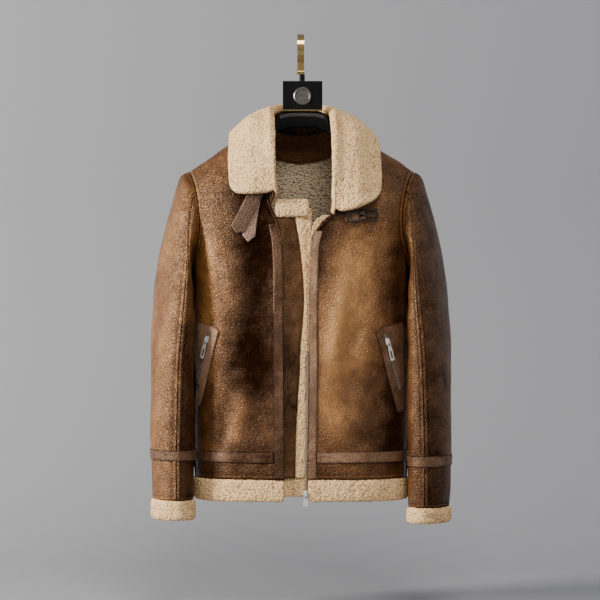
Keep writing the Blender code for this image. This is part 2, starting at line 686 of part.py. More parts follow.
def collar_grid():
    """Outer (leaf side) and inner points of the collar's wall, a row for each section round the neck."""
    table = [row for row in COLLAR["r"]] + [COLLAR["back"][0]]
    signs = [-1] * len(table) + [1] * len(COLLAR["l"])
    table = np.array(table + list(reversed(COLLAR["l"])), float)
    table[:, 1::3] *= np.array(signs)[:, None]
    table[len(COLLAR["r"]) + 1 :, 0] = 4 - table[len(COLLAR["r"]) + 1 :, 0]
    places = np.linspace(0, len(table) - 1, COLLAR_SECTIONS)
    sections = smooth(np.arange(len(table)), table, places)
    lines = []
    for section in sections:
        place = min(max(section[0], 0.0), 4.0)
        neck = neck_point("r", place) if place <= 2 else neck_point("l", 4 - place)
        roll, middle, edge = section[1:].reshape(3, 3)
        leaf = middle - roll
        leaf[2] *= 0.2
        away = leaf / np.linalg.norm(leaf)
        foot = neck + (roll - neck) / np.linalg.norm(roll - neck) * COLLAR_FOOT
        drop = np.array([0, 0, COLLAR_DROP])
        path = np.array([foot, roll - away * COLLAR_TURN * 0.4 + drop, roll, roll + away * COLLAR_TURN * 1.6 + drop * 0.4, middle, edge])
        ends = np.linspace(0, len(path) - 1, COLLAR_AROUND)
        lines.append(smooth(np.arange(len(path)), path, ends))
    lines = np.array(lines)
    thick = np.interp(ends, np.arange(len(path)), COLLAR_THICK)[:, None]
    normal = unit(np.cross(np.gradient(lines, axis=0), np.gradient(lines, axis=1)))
    if normal[len(lines) // 2, -3, 2] > 0:
        normal = -normal
    return lines + normal * thick / 2, lines - normal * thick / 2


def build_collar():
    """The fleece collar, which turns down over its own leg."""
    outer, inner = collar_grid()
    wall("collar", outer, inner, "fleece")


def build_cloth():
    grids = {f"front_{side}": front_grid(side) for side in SIDES}
    grids["back"] = back_grid()
    sleeves = {side: sleeve_grid(side) for side in SIDES}
    names = list(grids)
    flipped = {"front_r": grids["front_r"], "front_l": grids["front_l"][:, ::-1], "back": grids["back"]}
    turned = {"r": sleeves["r"][:, ::-1], "l": sleeves["l"]}
    all_grids = [flipped[name] for name in names] + [turned[side] for side in SIDES]
    normals = shared_normals(all_grids, [False] * 3 + [True] * 2)
    test = normals[0][8, 5]
    if test[1] > 0:
        normals = [-n for n in normals]
    made = {}
    body_normals = dict(zip(names, normals[:3]))
    for name in names:
        made[name] = panel(name, flipped[name], body_normals[name])
    low = [len(ARMHOLE_ANGLES) + LOW_ROWS.index(row) for row in TAPE_ROWS]
    tape = slice(low[0], low[1] + 1)
    for side in SIDES:
        grid, turn = edge_gap(flipped[f"front_{side}"]), body_normals[f"front_{side}"]
        band, rest = (slice(0, 2), slice(1, None)) if side == "r" else (slice(-2, None), slice(None, -1))
        on_panel(f"front_band_{side}", grid[BAND_FIRST_ROW:, band], turn[BAND_FIRST_ROW:, band])
        piece = grid[tape, rest].copy()
        edge, beside = (0, 1) if side == "r" else (-1, -2)
        piece[:, edge] += SEAM * unit(piece[:, beside] - piece[:, edge])
        on_panel(f"hem_tape_{side}", piece, turn[tape, rest])
        fleece_band(f"hem_fleece_{side}", fleece_edge(grid[-1]), HEM_HEIGHT, FLEECE_THICK)
    grid, turn = edge_gap(flipped["back"]), body_normals["back"]
    on_panel("hem_tape_back", grid[tape], turn[tape])
    fleece_band("hem_fleece_back", fleece_edge(grid[-1]), HEM_HEIGHT, FLEECE_THICK)
    centre = grid.shape[1] // 2
    neck = slice(centre - 4, centre + 5)
    on_panel("neck_facing", grid[:3, neck], turn[:3, neck], look="leather", lift=FACING_LIFT, thick=1.6, inside=WALL)
    for side, turn in zip(SIDES, normals[3:]):
        grid = turned[side]
        build_sleeve(side, grid, turn)
    return made


def fleece_edge(edge):
    """The line that a fleece hem hangs from, just under the leather's edge."""
    line = edge.copy()
    line[:, 2] += SEAM
    return line


def build_sleeve(side, grid, normals):
    """Top and under piece of a sleeve, with its tape and fleece cuff."""
    count = grid.shape[1]
    seam = SLEEVE_SEAM_COLUMN
    order = np.arange(count)
    if side == "r":
        grid, normals = grid[:, ::-1], normals[:, ::-1]
    top = np.concatenate([order[-seam:], order[: seam + 1]])
    under = order[seam : count - seam + 1]
    for name, columns in (("top", top), ("under", under)):
        panel(f"sleeve_{name}_{side}", grid[:, columns], normals[:, columns], SLEEVE_WALL, ridge=True)
    rows = slice(SLEEVE_TAPE_ROWS[0], SLEEVE_TAPE_ROWS[1] + 1)
    raised = grid[rows] + normals[rows] * RIDGE_HEIGHT
    on_panel(f"cuff_tape_{side}", raised, normals[rows], ring=True)
    edge = grid[-1].copy()
    edge[:, 2] += SEAM
    fleece_band(f"cuff_{side}", edge, CUFF_HEIGHT[side], FLEECE_THICK, ring=True, out=3.5)


def underlap_y(x, down):
    """Outer face of the underlap: behind the image-left front's wall, then sloping back to pass behind the other."""
    behind = shell_y(-40.0, down, -1) + WALL + UNDERLAP_CLEAR
    share = np.clip((np.asarray(x, float) - FRONT_R_EDGE) / (STRIP_RIGHT - FRONT_R_EDGE), 0, 1)
    return behind + (UNDERLAP_BACK - behind) * share


def build_underlap():
    """Leather underlap with its fleece edge, rolled fleece top and short fleece hem."""
    downs = np.array(PLACKET_ROWS, float)
    strip = smooth(STRIP_EDGE["down"], STRIP_EDGE["x"], downs)
    shares = np.linspace(0, 1, 4)[None]
    x = PLACKET_LEFT + (strip[:, None] - SEAM / 2 - PLACKET_LEFT) * shares
    rows = np.broadcast_to(downs[:, None], x.shape)
    outer = np.stack([x, underlap_y(x, rows), rows], axis=-1)
    wall("placket", outer, outer + (0, 3.0, 0), "leather")
    x = strip[:, None] + SEAM / 2 + (STRIP_RIGHT - strip[:, None]) * shares
    outer = np.stack([x, underlap_y(x, rows), rows], axis=-1)
    outer[:, 1, 1] -= 1.0
    wall("placket_fleece", outer, outer + (0, 7.0, 0), "fleece")
    roll = [(x, ROLL["y"] + abs(x - 14.0) * 0.02, ROLL["down"]) for x in np.linspace(*ROLL["x"], 8)]
    rounded_bar("placket_roll", roll, ROLL["height"], 11.0)
    hem = [(x, PLACKET_HEM["y"], PLACKET_HEM["down"]) for x in np.linspace(*PLACKET_HEM["x"], 6)]
    rounded_bar("placket_hem", hem, PLACKET_HEM["height"], 9.0)


def rounded_bar(name, line, height, thick):
    """A puffed slab hanging from a line, its outer face at the line's y."""
    line = np.asarray(line, float)
    rings = []
    for index, (x, y, down) in enumerate(line):
        end = 0.8 if index in (0, len(line) - 1) else 1.0
        ring = []
        for turn in np.radians(np.arange(8) * 45 + 22.5):
            side = math.copysign(abs(math.cos(turn)) ** 0.7, math.cos(turn)) * thick / 2 * end
            drop = (1 - math.copysign(abs(math.sin(turn)) ** 0.5, math.sin(turn)) * end) * height / 2
            ring.append((x, y + thick / 2 - side, down + drop))
        rings.append(ring)
    return tube(name, rings, "fleece")


def build_front_details(front_r, front_l):
    """Pockets, straps, the fleece rim and the zip, laid on the fronts."""
    trees = {"r": surface_tree(front_r), "l": surface_tree(front_l)}
    for side in SIDES:
        build_pocket(side, trees[side])
    line = smooth((0, 1, 2, 3), ((-83, 304), (-93, 324), (-106, 349), (-119, 374)), np.linspace(0, 3, 9))
    draped_strip("strap_dark", trees["r"], line, [27] * 9, 3.6, 2.0, "dark_strap", tip=8.0)
    line = smooth((0, 1, 2), ((-85, 306), (-93, 346), (-98, 387)), np.linspace(0, 2, 8))
    draped_strip("strap_light", trees["r"], line, [24] * 8, 0.9, 1.8, "light_strap", tip=11.0)
    rim = FRONT_EDGE["l"]
    downs = np.array([348, 357, 366, 378, 390, 402, 418, 434, 468, 512, 560, 600], float)
    edge = smooth(rim["down"], rim["x"], downs)
    show = np.interp(downs, (348, 378, 434, 600), (13, 9, 4, 1.5))
    face = np.array([inner_y(trees["l"], x + 3, d) for x, d in zip(edge, downs)]) + LIFT
    columns = ((edge - show, face - 1.5), (edge - 0.6, face), (edge + 6.0, face))
    outer = np.stack([np.stack([x, y, downs], -1) for x, y in columns], axis=1)
    wall("facing_l", outer, outer + (0, 2.2, 0), "fleece")
    zip_downs = np.array([602.5, 645, 700, 750, 793, 845, 880], float)
    edge = smooth(rim["down"], rim["x"], zip_downs)
    face = np.array([surface_y(trees["l"], x + 2, min(d, 842)) for x, d in zip(edge, zip_downs)]) + 1.5
    left, right = edge - ZIP_WIDTH - SEAM, edge - SEAM
    outer = np.stack([np.stack([left, face, zip_downs], -1), np.stack([right, face, zip_downs], -1)], axis=1)
    wall("front_zip", outer, outer + (0, 1.8, 0), "zip_cloth")
    at = FRONT_SLIDER
    build_slider("front", frame_at((at[0], face[-1] - SEAM, at[1]), (0, -1, 0), (0, 0, 1)), FRONT_PULL_LENGTH)
    build_buckle(trees["l"])


def on_surface(tree, places, lift, thick):
    """Under and over points of a piece that lies on a front, at a grid of x, down places.

    Each point is lifted until it clears the panel half way to its neighbours too.
    """

    def points(shift_x, shift_down):
        rows = [[(x + shift_x, surface_y(tree, x + shift_x, down + shift_down), down + shift_down) for x, down in row] for row in places]
        return np.array(rows)

    base = points(0, 0)
    normal = unit(np.cross(np.gradient(base, axis=0), np.gradient(base, axis=1)))
    normal *= -np.sign(normal[..., 1:2])
    step = np.abs(np.array([places[1][0][1] - places[0][0][1], places[0][1][0] - places[0][0][0]])) * 0.6
    clear = np.zeros(base.shape[:2])
    for way_x in (-1, 0, 1):
        for way_down in (-1, 0, 1):
            off = points(way_x * step[1], way_down * step[0]) - base
            clear = np.maximum(clear, np.sum(off * normal, axis=-1))
    base = base + normal * clear[..., None]
    return base + normal * lift, base + normal * (lift + thick), normal


def build_pocket(side, tree):
    """Slanted welt with its zip, slider and pull."""
    sign = SIDES[side]
    data = POCKET[side]
    top, bottom = np.array(data["top"], float), np.array(data["bottom"], float)
    length = np.linalg.norm(bottom - top)
    along = (bottom - top) / length
    across = np.array([along[1], -along[0]]) * sign
    places = []
    for step in np.linspace(0, 1, POCKET_LENGTH_STEPS + 1):
        edge = top + along * length * step
        width = min(data["width"], (POCKET_FAR - sign * edge[0]) / abs(across[0]))
        zip_half = min(ZIP_WIDTH / 2, 0.28 * width)
        zip_at = min(data["zip"], width - zip_half - POCKET_MARGIN)
        row = []
        for reach in (0, 0.15 * width, zip_at - zip_half, *np.linspace(zip_at + zip_half, width, 4)):
            place = edge + across * reach
            place[1] += POCKET_CORNER * max(1 - 2 * reach / width, 0) ** 3 * (1 - step) ** 6
            row.append(place)
        places.append(row)
    under, over, normal = on_surface(tree, places, WELT_LIFT, WELT_THICK)
    wall(f"pocket_welt_{side}", over, under, "tape")
    zipped = slice(1, POCKET_LENGTH_STEPS - 2), slice(2, 4)
    low = over[zipped] + normal[zipped] * LIFT
    wall(f"pocket_zip_{side}", low + normal[zipped] * ZIP_THICK, low, "zip_cloth")
    out = unit(normal[zipped][:3].mean(axis=(0, 1)))
    middle = low[:3].mean(axis=(0, 1)) + out * (ZIP_THICK + SLIDER_LIFT)
    down_zip = low[2].mean(axis=0) - low[0].mean(axis=0)
    build_slider(f"pocket_{side}", frame_at(middle, out, down_zip), POCKET_PULL_LENGTH)


def frame_at(origin, out, along):
    """A local frame: u across, v along, w outward from a surface."""
    w = unit(np.asarray(out, float))
    v = unit(np.asarray(along, float) - np.dot(along, w) * w)
    return np.asarray(origin, float), np.cross(v, w), v, w


def placed(frame, points):
    origin, u, v, w = frame
    return [origin + a * u + b * v + c * w for a, b, c in points]


def prism(name, frame, outline, low, high, look, plane="uv", pivot=(0, 0, 0)):
    """An outline in u, v (or v, w) drawn out between two heights of the third axis."""
    layers = []
    for level in (low, high):
        if plane == "uv":
            layers += [(a, b, level) for a, b in outline]
        else:
            layers += [(level, a, b) for a, b in outline]
    count = len(outline)
    faces = [[k, (k + 1) % count, count + (k + 1) % count, count + k] for k in range(count)]
    faces += [list(range(count))[::-1], [count + k for k in range(count)]]
    return solid(name, placed(frame, layers), faces, look, pivot)


def rectangle(left, right, low, high):
    return [(left, low), (right, low), (right, high), (left, high)]


def cut(body, cutter, how="DIFFERENCE"):
    """A Boolean of body with a helper object, which isn't part of the jacket."""
    cutter.hide_render = True
    cutter.display_type = "WIRE"
    step = body.modifiers.new(cutter.name, "BOOLEAN")
    step.operation = how
    step.solver = "EXACT"
    step.object = cutter


def pivot_of(frame, v, w):
    origin, _, along, out = frame
    return origin + v * along + w * out


def build_slider(name, frame, pull_length):
    """A zip slider with its bridge, and the pull whose top bar turns inside the bridge."""
    base = prism(f"{name}_slider", frame, [(-3.2, -6), (3.2, -6), (4.2, 5), (-4.2, 5)], 0, SLIDER_HEIGHT, "silver")
    hinge = SLIDER_HEIGHT + BRIDGE_HOLE[1] / 2
    half_v, half_w = BRIDGE_HOLE[0] / 2, BRIDGE_HOLE[1] / 2
    rim = rectangle(-half_v - BRIDGE_WALL, half_v + BRIDGE_WALL, SLIDER_HEIGHT - 0.6, hinge + half_w + BRIDGE_WALL)
    arch = prism(f"{name}_bridge_helper", frame, rim, -1.1, 1.1, "silver", plane="vw")
    hole = prism(f"{name}_hole_helper", frame, rectangle(-half_v, half_v, SLIDER_HEIGHT, hinge + half_w), -2, 2, "silver", plane="vw")
    cut(arch, hole)
    cut(base, arch, "UNION")
    pivot = pivot_of(frame, 0, hinge)
    lean = math.asin(PULL_REST_DROP / pull_length)
    origin, u, v, w = frame
    tilted = (pivot, u, v * math.cos(lean) - w * math.sin(lean), w * math.cos(lean) + v * math.sin(lean))
    wide, long = PULL_HALF_WIDTH, pull_length
    outline = [(-3.0, -1.0), (3.0, -1.0), (3.0, 12), (wide, 16), (wide, long - 1), (wide - 1, long)]
    outline += [(-x, y) for x, y in reversed(outline[2:])]
    half = PULL_THICK / 2
    pull = prism(f"{name}_pull", tilted, outline, -half, half, "silver", pivot=pivot)
    eye = prism(f"{name}_eye_helper", tilted, rectangle(-1.7, 1.7, 1.0, 9.5), -2, 2, "silver")
    window = prism(f"{name}_window_helper", tilted, rectangle(-2.2, 2.2, 18.5, long - 4), -2, 2, "silver")
    cut(pull, eye)
    cut(pull, window)


def build_buckle(tree):
    """Leather tab folded round the buckle's bar, a keeper on it, the frame and its prong."""
    x, down = BUCKLE["bar"]
    rise = math.radians(BUCKLE["rise"])
    along = np.array([math.cos(rise), 0, -math.sin(rise)])
    reach = np.linspace(-BUCKLE["tab"] - 1, BUCKLE["frame_length"] + 2, 12)
    under = [
        [surface_y(tree, x + along[0] * v - along[2] * u, down + along[2] * v + along[0] * u) for u in (-9, -4, 0, 4, 9)] for v in reach
    ]
    nearest = np.array(under).min(axis=1)
    slope = (nearest[-1] - nearest[0]) / (reach[-1] - reach[0])
    level = (nearest - slope * reach).min() - BUCKLE["clear"]
    frame = frame_at((x, level, down), (slope * along[0], -1, slope * along[2]), along + (0, slope, 0))
    layer, bar = BUCKLE["leather"], BUCKLE["wire"] / 2
    reach = bar * math.sqrt(2) + SEAM
    centre = layer + reach
    turn = np.radians(np.arange(-90, 91, 22.5))
    outside = [((reach + layer) * math.cos(a), centre + (reach + layer) * math.sin(a)) for a in turn]
    inside = [(reach * math.cos(a), centre + reach * math.sin(a)) for a in turn]
    fold = [(-BUCKLE["tab"], 0)] + outside + [(-BUCKLE["fold"], centre + reach + layer), (-BUCKLE["fold"], centre + reach)]
    fold += inside[::-1] + [(-BUCKLE["tab"], layer)]
    half = BUCKLE["tab_width"] / 2
    tab = prism("buckle_tab", frame, fold, -half, half, "leather", plane="vw")
    cut(tab, prism("buckle_slot_helper", frame, rectangle(-2.4, 2.4, -8, 8), -3, 12, "leather"))
    top = centre + reach + layer + SEAM
    ring_outer, wire = BUCKLE["frame_width"] / 2, BUCKLE["wire"]
    keeper = prism("buckle_keeper", frame, rectangle(-ring_outer, ring_outer, *BUCKLE["keeper"]), top, top + 1.8, "black_metal")
    hole = rectangle(-ring_outer + wire, ring_outer - wire, BUCKLE["keeper"][0] + wire, BUCKLE["keeper"][1] - wire)
    cut(keeper, prism("buckle_keeper_helper", frame, hole, top - 2, top + 4, "black_metal"))
    pivot = pivot_of(frame, 0, centre)
    long = BUCKLE["frame_length"]
    ring = prism("buckle_frame", frame, rectangle(-ring_outer, ring_outer, -bar, long), centre - bar, centre + bar, "black_metal", pivot=pivot)
    hole = rectangle(-ring_outer + wire, ring_outer - wire, bar, long - wire)
    cut(ring, prism("buckle_frame_helper", frame, hole, centre - 4, centre + 4, "black_metal"))
    eye = bar * math.sqrt(2) + SEAM
    outer = eye + 1.3
    low = centre + bar + SEAM
    round_part = [(outer * math.cos(a), centre + outer * math.sin(a)) for a in np.radians(np.arange(60, 331, 22.5))]
    outline = round_part + [(outer, low), (long + 1.5, low), (long + 1.5, low + 1.3), (4.0, low + 1.6)]
    prong = prism("buckle_prong", frame, outline, -1.7, 1.7, "black_metal", plane="vw", pivot=pivot)
    bore = [(eye * math.cos(a), centre + eye * math.sin(a)) for a in np.radians(np.arange(0, 360, 30))]
    cut(prong, prism("buckle_bore_helper", frame, bore, -3, 3, "black_metal", plane="vw"))


# ---------------------------------------------------------------- hanger


def seat_top(tree, x, deep, height):
    """Height of a hanger section's top so that it lies just under the shoulders' inner face on both sides."""
    tops = []
    for sign in SIDES.values():
        for y in np.linspace(-deep, deep, 13):
            hit = tree.ray_cast(Vector((sign * x * MM, y * MM, -0.330)), Vector((0, 0, 1)))
            rise = (1 - min(abs(y) / deep, 1) ** (2 / 0.7)) ** 0.35
            if hit[0] is not None:  # a ray up through a seam's gap meets nothing
                tops.append(-hit[0].z / MM + 2 * SEAM - (1 - rise) * height / 2)
    return max(tops)


def build_hanger(cloth):
    xs = np.array(HANGER["x"], float)
    tree = surface_tree(*cloth.values())
    rings = []
    for x, top, height, deep in zip(xs, HANGER["top"], HANGER["height"], HANGER["half_depth"]):
        if x > HANGER_RESTS_FROM:
            top = max(top, seat_top(tree, x, deep, height))
        bottom = top + height
        ring = []
        for turn in np.radians(np.arange(12) * 30 + 15):
            side = math.copysign(abs(math.cos(turn)) ** 0.7, math.cos(turn)) * deep
            rise = math.copysign(abs(math.sin(turn)) ** 0.7, math.sin(turn))
            ring.append((x, side, (top + bottom) / 2 - rise * (bottom - top) / 2))
        rings.append(ring)
    rings = np.array(rings)
    left = rings[:0:-1].copy()
    left[..., 0] *= -1
    both = np.concatenate([left, rings])
    both[..., 0] += HANGER_X * np.clip(1 - (np.abs(both[..., 0]) - 30) / 40, 0, 1)
    tube("hanger_body", both, "black_plastic")
    box("hanger_plate", PLATE["x"], PLATE["y"], PLATE["down"], "black_plastic", bevel=0.8)
    low = PLATE["down"][1] + SEAM
    box("hanger_trim", PLATE["x"], (PLATE["y"][0] - 0.4, PLATE["y"][1]), (low, low + 2.4), "brass")
    disc = []
    for y, radius in ((PLATE["y"][0] - SEAM, 17.0), (-11.6, 17.0), (-12.4, 15.8), (-12.4, 13.5), (-11.5, 12.5), (-11.5, 6.0)):
        disc.append([(3.0 + radius * math.cos(a), y, 117.0 - radius * math.sin(a)) for a in np.radians(np.arange(0, 360, 15))])
    tube("hanger_disc", disc, "silver")
    stem = []
    for down, radius in ((75.0, 5.4), (87.6, 5.4)):
        stem.append([(HANGER_X - 0.5 + radius * math.cos(a), radius * math.sin(a), down) for a in np.radians(np.arange(0, 360, 30))])
    tube("hanger_stem", stem, "black_plastic")
    build_hook()


def build_hook():
    """Flat brass ribbon: up from its ferrule, forward, over the top and down behind."""
    centre = HOOK_RADIUS - HOOK_THICK / 2
    path = [(0.0, 68.0), (-1.5, 62.0), (-9.0, 52.0)]
    path += [
        (-HOOK_RADIUS * math.cos(a), centre - HOOK_RADIUS * math.sin(a)) for a in np.radians(np.arange(-35, 196, 15))
    ]
    path = np.array(path)
    run = unit(np.gradient(path, axis=0))
    out = np.stack([run[:, 1], -run[:, 0]], axis=-1) * HOOK_THICK / 2
    rings = []
    for point, side in zip(path, out):
        ring = []
        for x, way in ((-0.5, -1), (0.5, -1), (0.5, 1), (-0.5, 1)):
            place = point + side * way
            ring.append((HANGER_X - 3.0 + x * HOOK_WIDTH, place[0], place[1]))
        rings.append(ring)
    tube("hook", rings, "brass")
    box("hook_ferrule", (-8.0, 7.0), (-4.5, 4.5), (68.4, 74.6), "brass", bevel=0.8)


def main():
    for item in list(bpy.data.objects):
        bpy.data.objects.remove(item, do_unlink=True)
    cloth = build_cloth()
    build_collar()
    build_underlap()
    build_front_details(cloth["front_r"], cloth["front_l"])
    build_hanger(cloth)


main()
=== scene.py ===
"""Looks of the leather jacket: leather, fleece, stitching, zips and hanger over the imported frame.

Sizes are millimetres until place() turns them into metres. x runs to the wearer's left, y to the back and "down" is the
distance below the inside top of the hanger's hook, which is the origin. The shape tables and functions are those of the
solids; refine() draws them finer.
"""
import itertools
import math

import bpy
import numpy as np
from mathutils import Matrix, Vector
from mathutils.bvhtree import BVHTree
from mathutils.kdtree import KDTree


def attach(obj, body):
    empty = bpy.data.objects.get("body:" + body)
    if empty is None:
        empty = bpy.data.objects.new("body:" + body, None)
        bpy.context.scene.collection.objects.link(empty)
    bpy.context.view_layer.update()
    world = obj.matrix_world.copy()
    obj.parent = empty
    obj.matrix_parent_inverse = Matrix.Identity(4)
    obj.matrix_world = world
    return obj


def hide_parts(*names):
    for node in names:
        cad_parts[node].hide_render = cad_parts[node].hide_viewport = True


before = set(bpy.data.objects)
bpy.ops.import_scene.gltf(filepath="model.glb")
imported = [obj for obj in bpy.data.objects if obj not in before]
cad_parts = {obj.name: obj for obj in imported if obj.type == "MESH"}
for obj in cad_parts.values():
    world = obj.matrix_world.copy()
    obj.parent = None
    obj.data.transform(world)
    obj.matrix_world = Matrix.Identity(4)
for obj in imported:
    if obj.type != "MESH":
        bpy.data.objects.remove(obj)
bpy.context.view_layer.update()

MM = 0.001
SEAM = 0.3
WALL = 5.0
TAPE_THICK = 1.4
LIFT = 0.6
FACING_LIFT = 0.8
THIN_REACH = 45.0
THIN_LEAST = 0.25
SIDES = {"r": -1, "l": 1}

# Body: outline of the hollow at each height. The side seam lies at side_y, behind the sleeve.
BODY = {
    "down": (150, 262, 357, 452, 560, 700, 853, 910),
    "half_width": (219, 219, 211, 208, 207, 206, 206, 206),
    "side_y": (0, 0, 6, 18, 28, 32, 34, 34),
    "front_y": (-76, -83, -88, -92, -93, -91, -89, -89),
    "back_y": (62, 70, 78, 84, 88, 90, 92, 92),
}
FRONT_SQUARENESS = 3.2
BACK_SQUARENESS = 2.8
SHOULDER_REACH = 130.0
SHOULDER_ROUNDNESS = 1.7
NECK_SIDE = (78.0, 170.0)
SHOULDER_TIP = (216.0, 262.0)
NECK_BACK_DOWN = 187.0
NECK_COLUMNS = (0, 0.28, 0.53, 0.74, 0.9)
PIT_DOWN = 452.0
ARMHOLE_HOLLOW = 20.0
ARMHOLE_ANGLES = (0, 13, 27, 40, 54, 74, 95, 116, 138, 159, 180)
SLEEVE_SEAM_COLUMN = 4
LOW_ROWS = (480, 512, 550, 595, 645, 700, 750, 793, 814, 845)
TAPE_ROWS = (793, 814)

# Front edges: x at each height, from the end of the neckline down.
FRONT_EDGE = {
    "r": {"down": (330, 348, 366, 396, 438, 560, 700, 845), "x": (56, 51, 41.5, 36, 33.6, 33, 32, 31)},
    "l": {"down": (343, 357, 378, 402, 434, 468, 657, 845), "x": (57, 36.6, 26, 20.4, 18.2, 16.8, 16.1, 13.3)},
}
FRONT_COLUMNS = 9
BAND_FIRST_ROW = 7
BAND_WIDTH = {"r": 19.0, "l": 15.5}
NECK_ROWS = {
    "r": (170, 186, 206, 231, 261, 294, 330, 366, 396, 424, 452),
    "l": (170, 187, 209, 236, 270, 307, 343, 378, 402, 428, 452),
}

# Largest folds of the body, on the front (-1) or back (1): x and down of both ends, half the width, and the height,
# which is plus for a ridge and minus for a trough.
BODY_FOLDS = (
    (-1, -112, 690, -136, 790, 17, -6.0),
    (-1, -92, 640, -128, 815, 13, 4.0),
    (-1, -88, 330, -82, 640, 18, -4.5),
    (-1, 86, 430, 58, 700, 18, 5.0),
    (-1, 112, 520, 92, 760, 15, -5.0),
    (-1, 150, 470, 66, 830, 16, 4.0),
    (-1, -150, 420, -86, 600, 18, 4.0),
    (1, -120, 400, -60, 690, 24, -5.0),
    (1, 120, 410, 66, 700, 24, -5.0),
    (1, 0, 330, 4, 640, 30, 4.0),
    (1, -150, 700, -40, 770, 16, 3.5),
    (1, 150, 690, 50, 765, 16, 3.5),
)

# Sleeve: outermost and innermost point of each ring, half its depth, its middle's y and how far it turns forward.
SLEEVE = {
    "outer_x": (216, 233, 250, 263, 272, 279, 283, 285, 285.5, 284.5, 281.5),
    "outer_down": (262, 276, 334, 396, 455, 516, 577, 640, 720, 800, 884),
    "inner_x": (208, 210, 212, 212, 210, 208, 206, 205, 204, 204, 204),
    "inner_down": (452, 462, 474, 488, 508, 537, 580, 640, 720, 800, 884),
    "half_depth": (70, 75, 79, 80, 79, 77, 73, 68, 62, 56, 50),
    "mid_y": (0, -1, -4, -8, -12, -17, -22, -27, -33, -38, -42),
    "turn": (0, 5, 11, 16, 18, 18, 16, 14, 13, 12, 12),
    "armhole_share": (1, 0.72, 0.4, 0.16, 0.04, 0, 0, 0, 0, 0, 0),
}
SLEEVE_ROWS = (0, 0.5, 1, 1.6, 2.3, 3, 3.7, 4.4, 5.2, 6, 6.8, 7.4, 8, 8.5, 8.88, 9.12, 9.6, 10)
SLEEVE_TAPE_ROWS = (14, 15)
SLEEVE_LENGTHEN = {"r": 0.0, "l": 14.0}
ELBOW_ROW = 5.0
ARMPIT_CLEARING = 4.0
SLEEVE_WALL = 4.5
SLEEVE_SEAM_ANGLE = 90.0
RIDGE_HEIGHT = 1.5
RIDGE_WIDTHS = (5.0, 7.5)
# Troughs across the sleeve where it bends: row, angle round the ring, half the angle that it covers, depth.
SLEEVE_FOLDS = ((4.6, 150, 55, 3.5), (5.6, 35, 50, 3.0), (6.3, 200, 60, 3.5), (7.4, 60, 45, 2.5), (5.2, 300, 50, 3.0))
SLEEVE_FOLD_ROWS = 0.28

# Fleece cuffs and hem: a rounded band below the leather's edge.
CUFF_HEIGHT = {"r": 38.0, "l": 30.0}
FLEECE_THICK = 13.0
HEM_HEIGHT = 42.0

# Collar: place along the neckline, which runs from 0 at the front end by 1 at the shoulder to 2 at the middle of the
# back, then x, y and down of the roll line, of the leaf's middle and of its free edge.
COLLAR = {
    "r": (
        (0.00, 51, -100, 303, 93, -101, 309, 133, -85, 307),
        (0.30, 55, -95, 248, 96, -85, 250, 137, -63, 254),
        (0.62, 57, -73, 198, 97, -54, 199, 137, -28, 209),
        (0.85, 59, -37, 160, 99, -24, 167, 136, -6, 195),
        (1.00, 60, 2, 143, 98, 8, 158, 134, 12, 194),
        (1.35, 48, 38, 135, 82, 44, 153, 107, 58, 206),
        (1.70, 26, 57, 131, 44, 77, 168, 56, 84, 230),
    ),
    "back": ((2.00, 0, 62, 130, 0, 84, 172, 0, 88, 238),),
    "l": (
        (0.00, 65, -99, 338, 109, -106, 335, 151, -83, 313),
        (0.30, 66, -95, 278, 110, -86, 271, 152, -58, 262),
        (0.62, 66, -74, 214, 108, -56, 204, 148, -24, 212),
        (0.85, 64, -37, 164, 105, -22, 170, 143, -3, 198),
        (1.00, 62, 2, 145, 101, 10, 160, 138, 14, 198),
        (1.35, 50, 38, 136, 83, 45, 155, 109, 60, 208),
        (1.70, 28, 57, 132, 45, 78, 169, 57, 85, 231),
    ),
}
COLLAR_TURN = 7.5
COLLAR_DROP = 9.0
COLLAR_THICK = (5.0, 9.0, 10.0, 10.0, 11.0, 9.0)
COLLAR_SECTIONS = 33
COLLAR_AROUND = 11
COLLAR_FOOT = 1.4

# Underlap behind the image-left front, with its fleece.
STRIP_EDGE = {
    "down": (350, 372, 402, 434, 468, 536, 583, 639, 658, 744, 845),
    "x": (-12.2, -8.1, -3, 0.4, 3.6, 4.5, -0.6, -2.8, -3.9, -9.2, -11.4),
}
PLACKET_LEFT = -54.0
FRONT_R_EDGE = -33.0
UNDERLAP_BACK = -78.5
UNDERLAP_CLEAR = 1.4
STRIP_RIGHT = 20.0
ROLL = {"x": (-48.0, 14.0), "y": -89.0, "down": 318.0, "height": 33.3}
PLACKET_HEM = {"x": (-50.0, 27.0), "y": -77.2, "down": 842.6, "height": 36.0}
PLACKET_ROWS = (352, 372, 396, 424, 452, 480, 512, 550, 595, 645, 700, 750, 793, 818, 843)

# Pockets: each welt's edge towards the front, how wide it is and how far from that edge its zip runs.
POCKET = {
    "r": {"top": (-152.8, 560), "bottom": (-189.4, 710), "width": 42.0, "zip": 15.5},
    "l": {"top": (138.8, 562), "bottom": (180.4, 722), "width": 52.0, "zip": 14.5},
}
POCKET_LENGTH_STEPS = 12
POCKET_CORNER = 7.0
POCKET_FAR = 196.0
POCKET_MARGIN = 1.5
WELT_THICK = 2.0
WELT_LIFT = 1.5
ZIP_WIDTH = 5.0
ZIP_THICK = 0.8


def clamp(values):
    return np.clip(values, 0, 1)


def fade(values, start, full):
    """0 up to start, 1 from full on and even between them. Full may be the smaller of the two."""
    return clamp((values - start) / (full - start))


def hump(values, middle, half):
    """A soft bell, 1 at its middle."""
    return np.exp(-(((values - middle) / half) ** 2))


def norm(vectors, **how):
    return np.linalg.norm(vectors, axis=-1, **how)


def unit(vectors):
    return vectors / np.maximum(norm(vectors, keepdims=True), 1e-9)


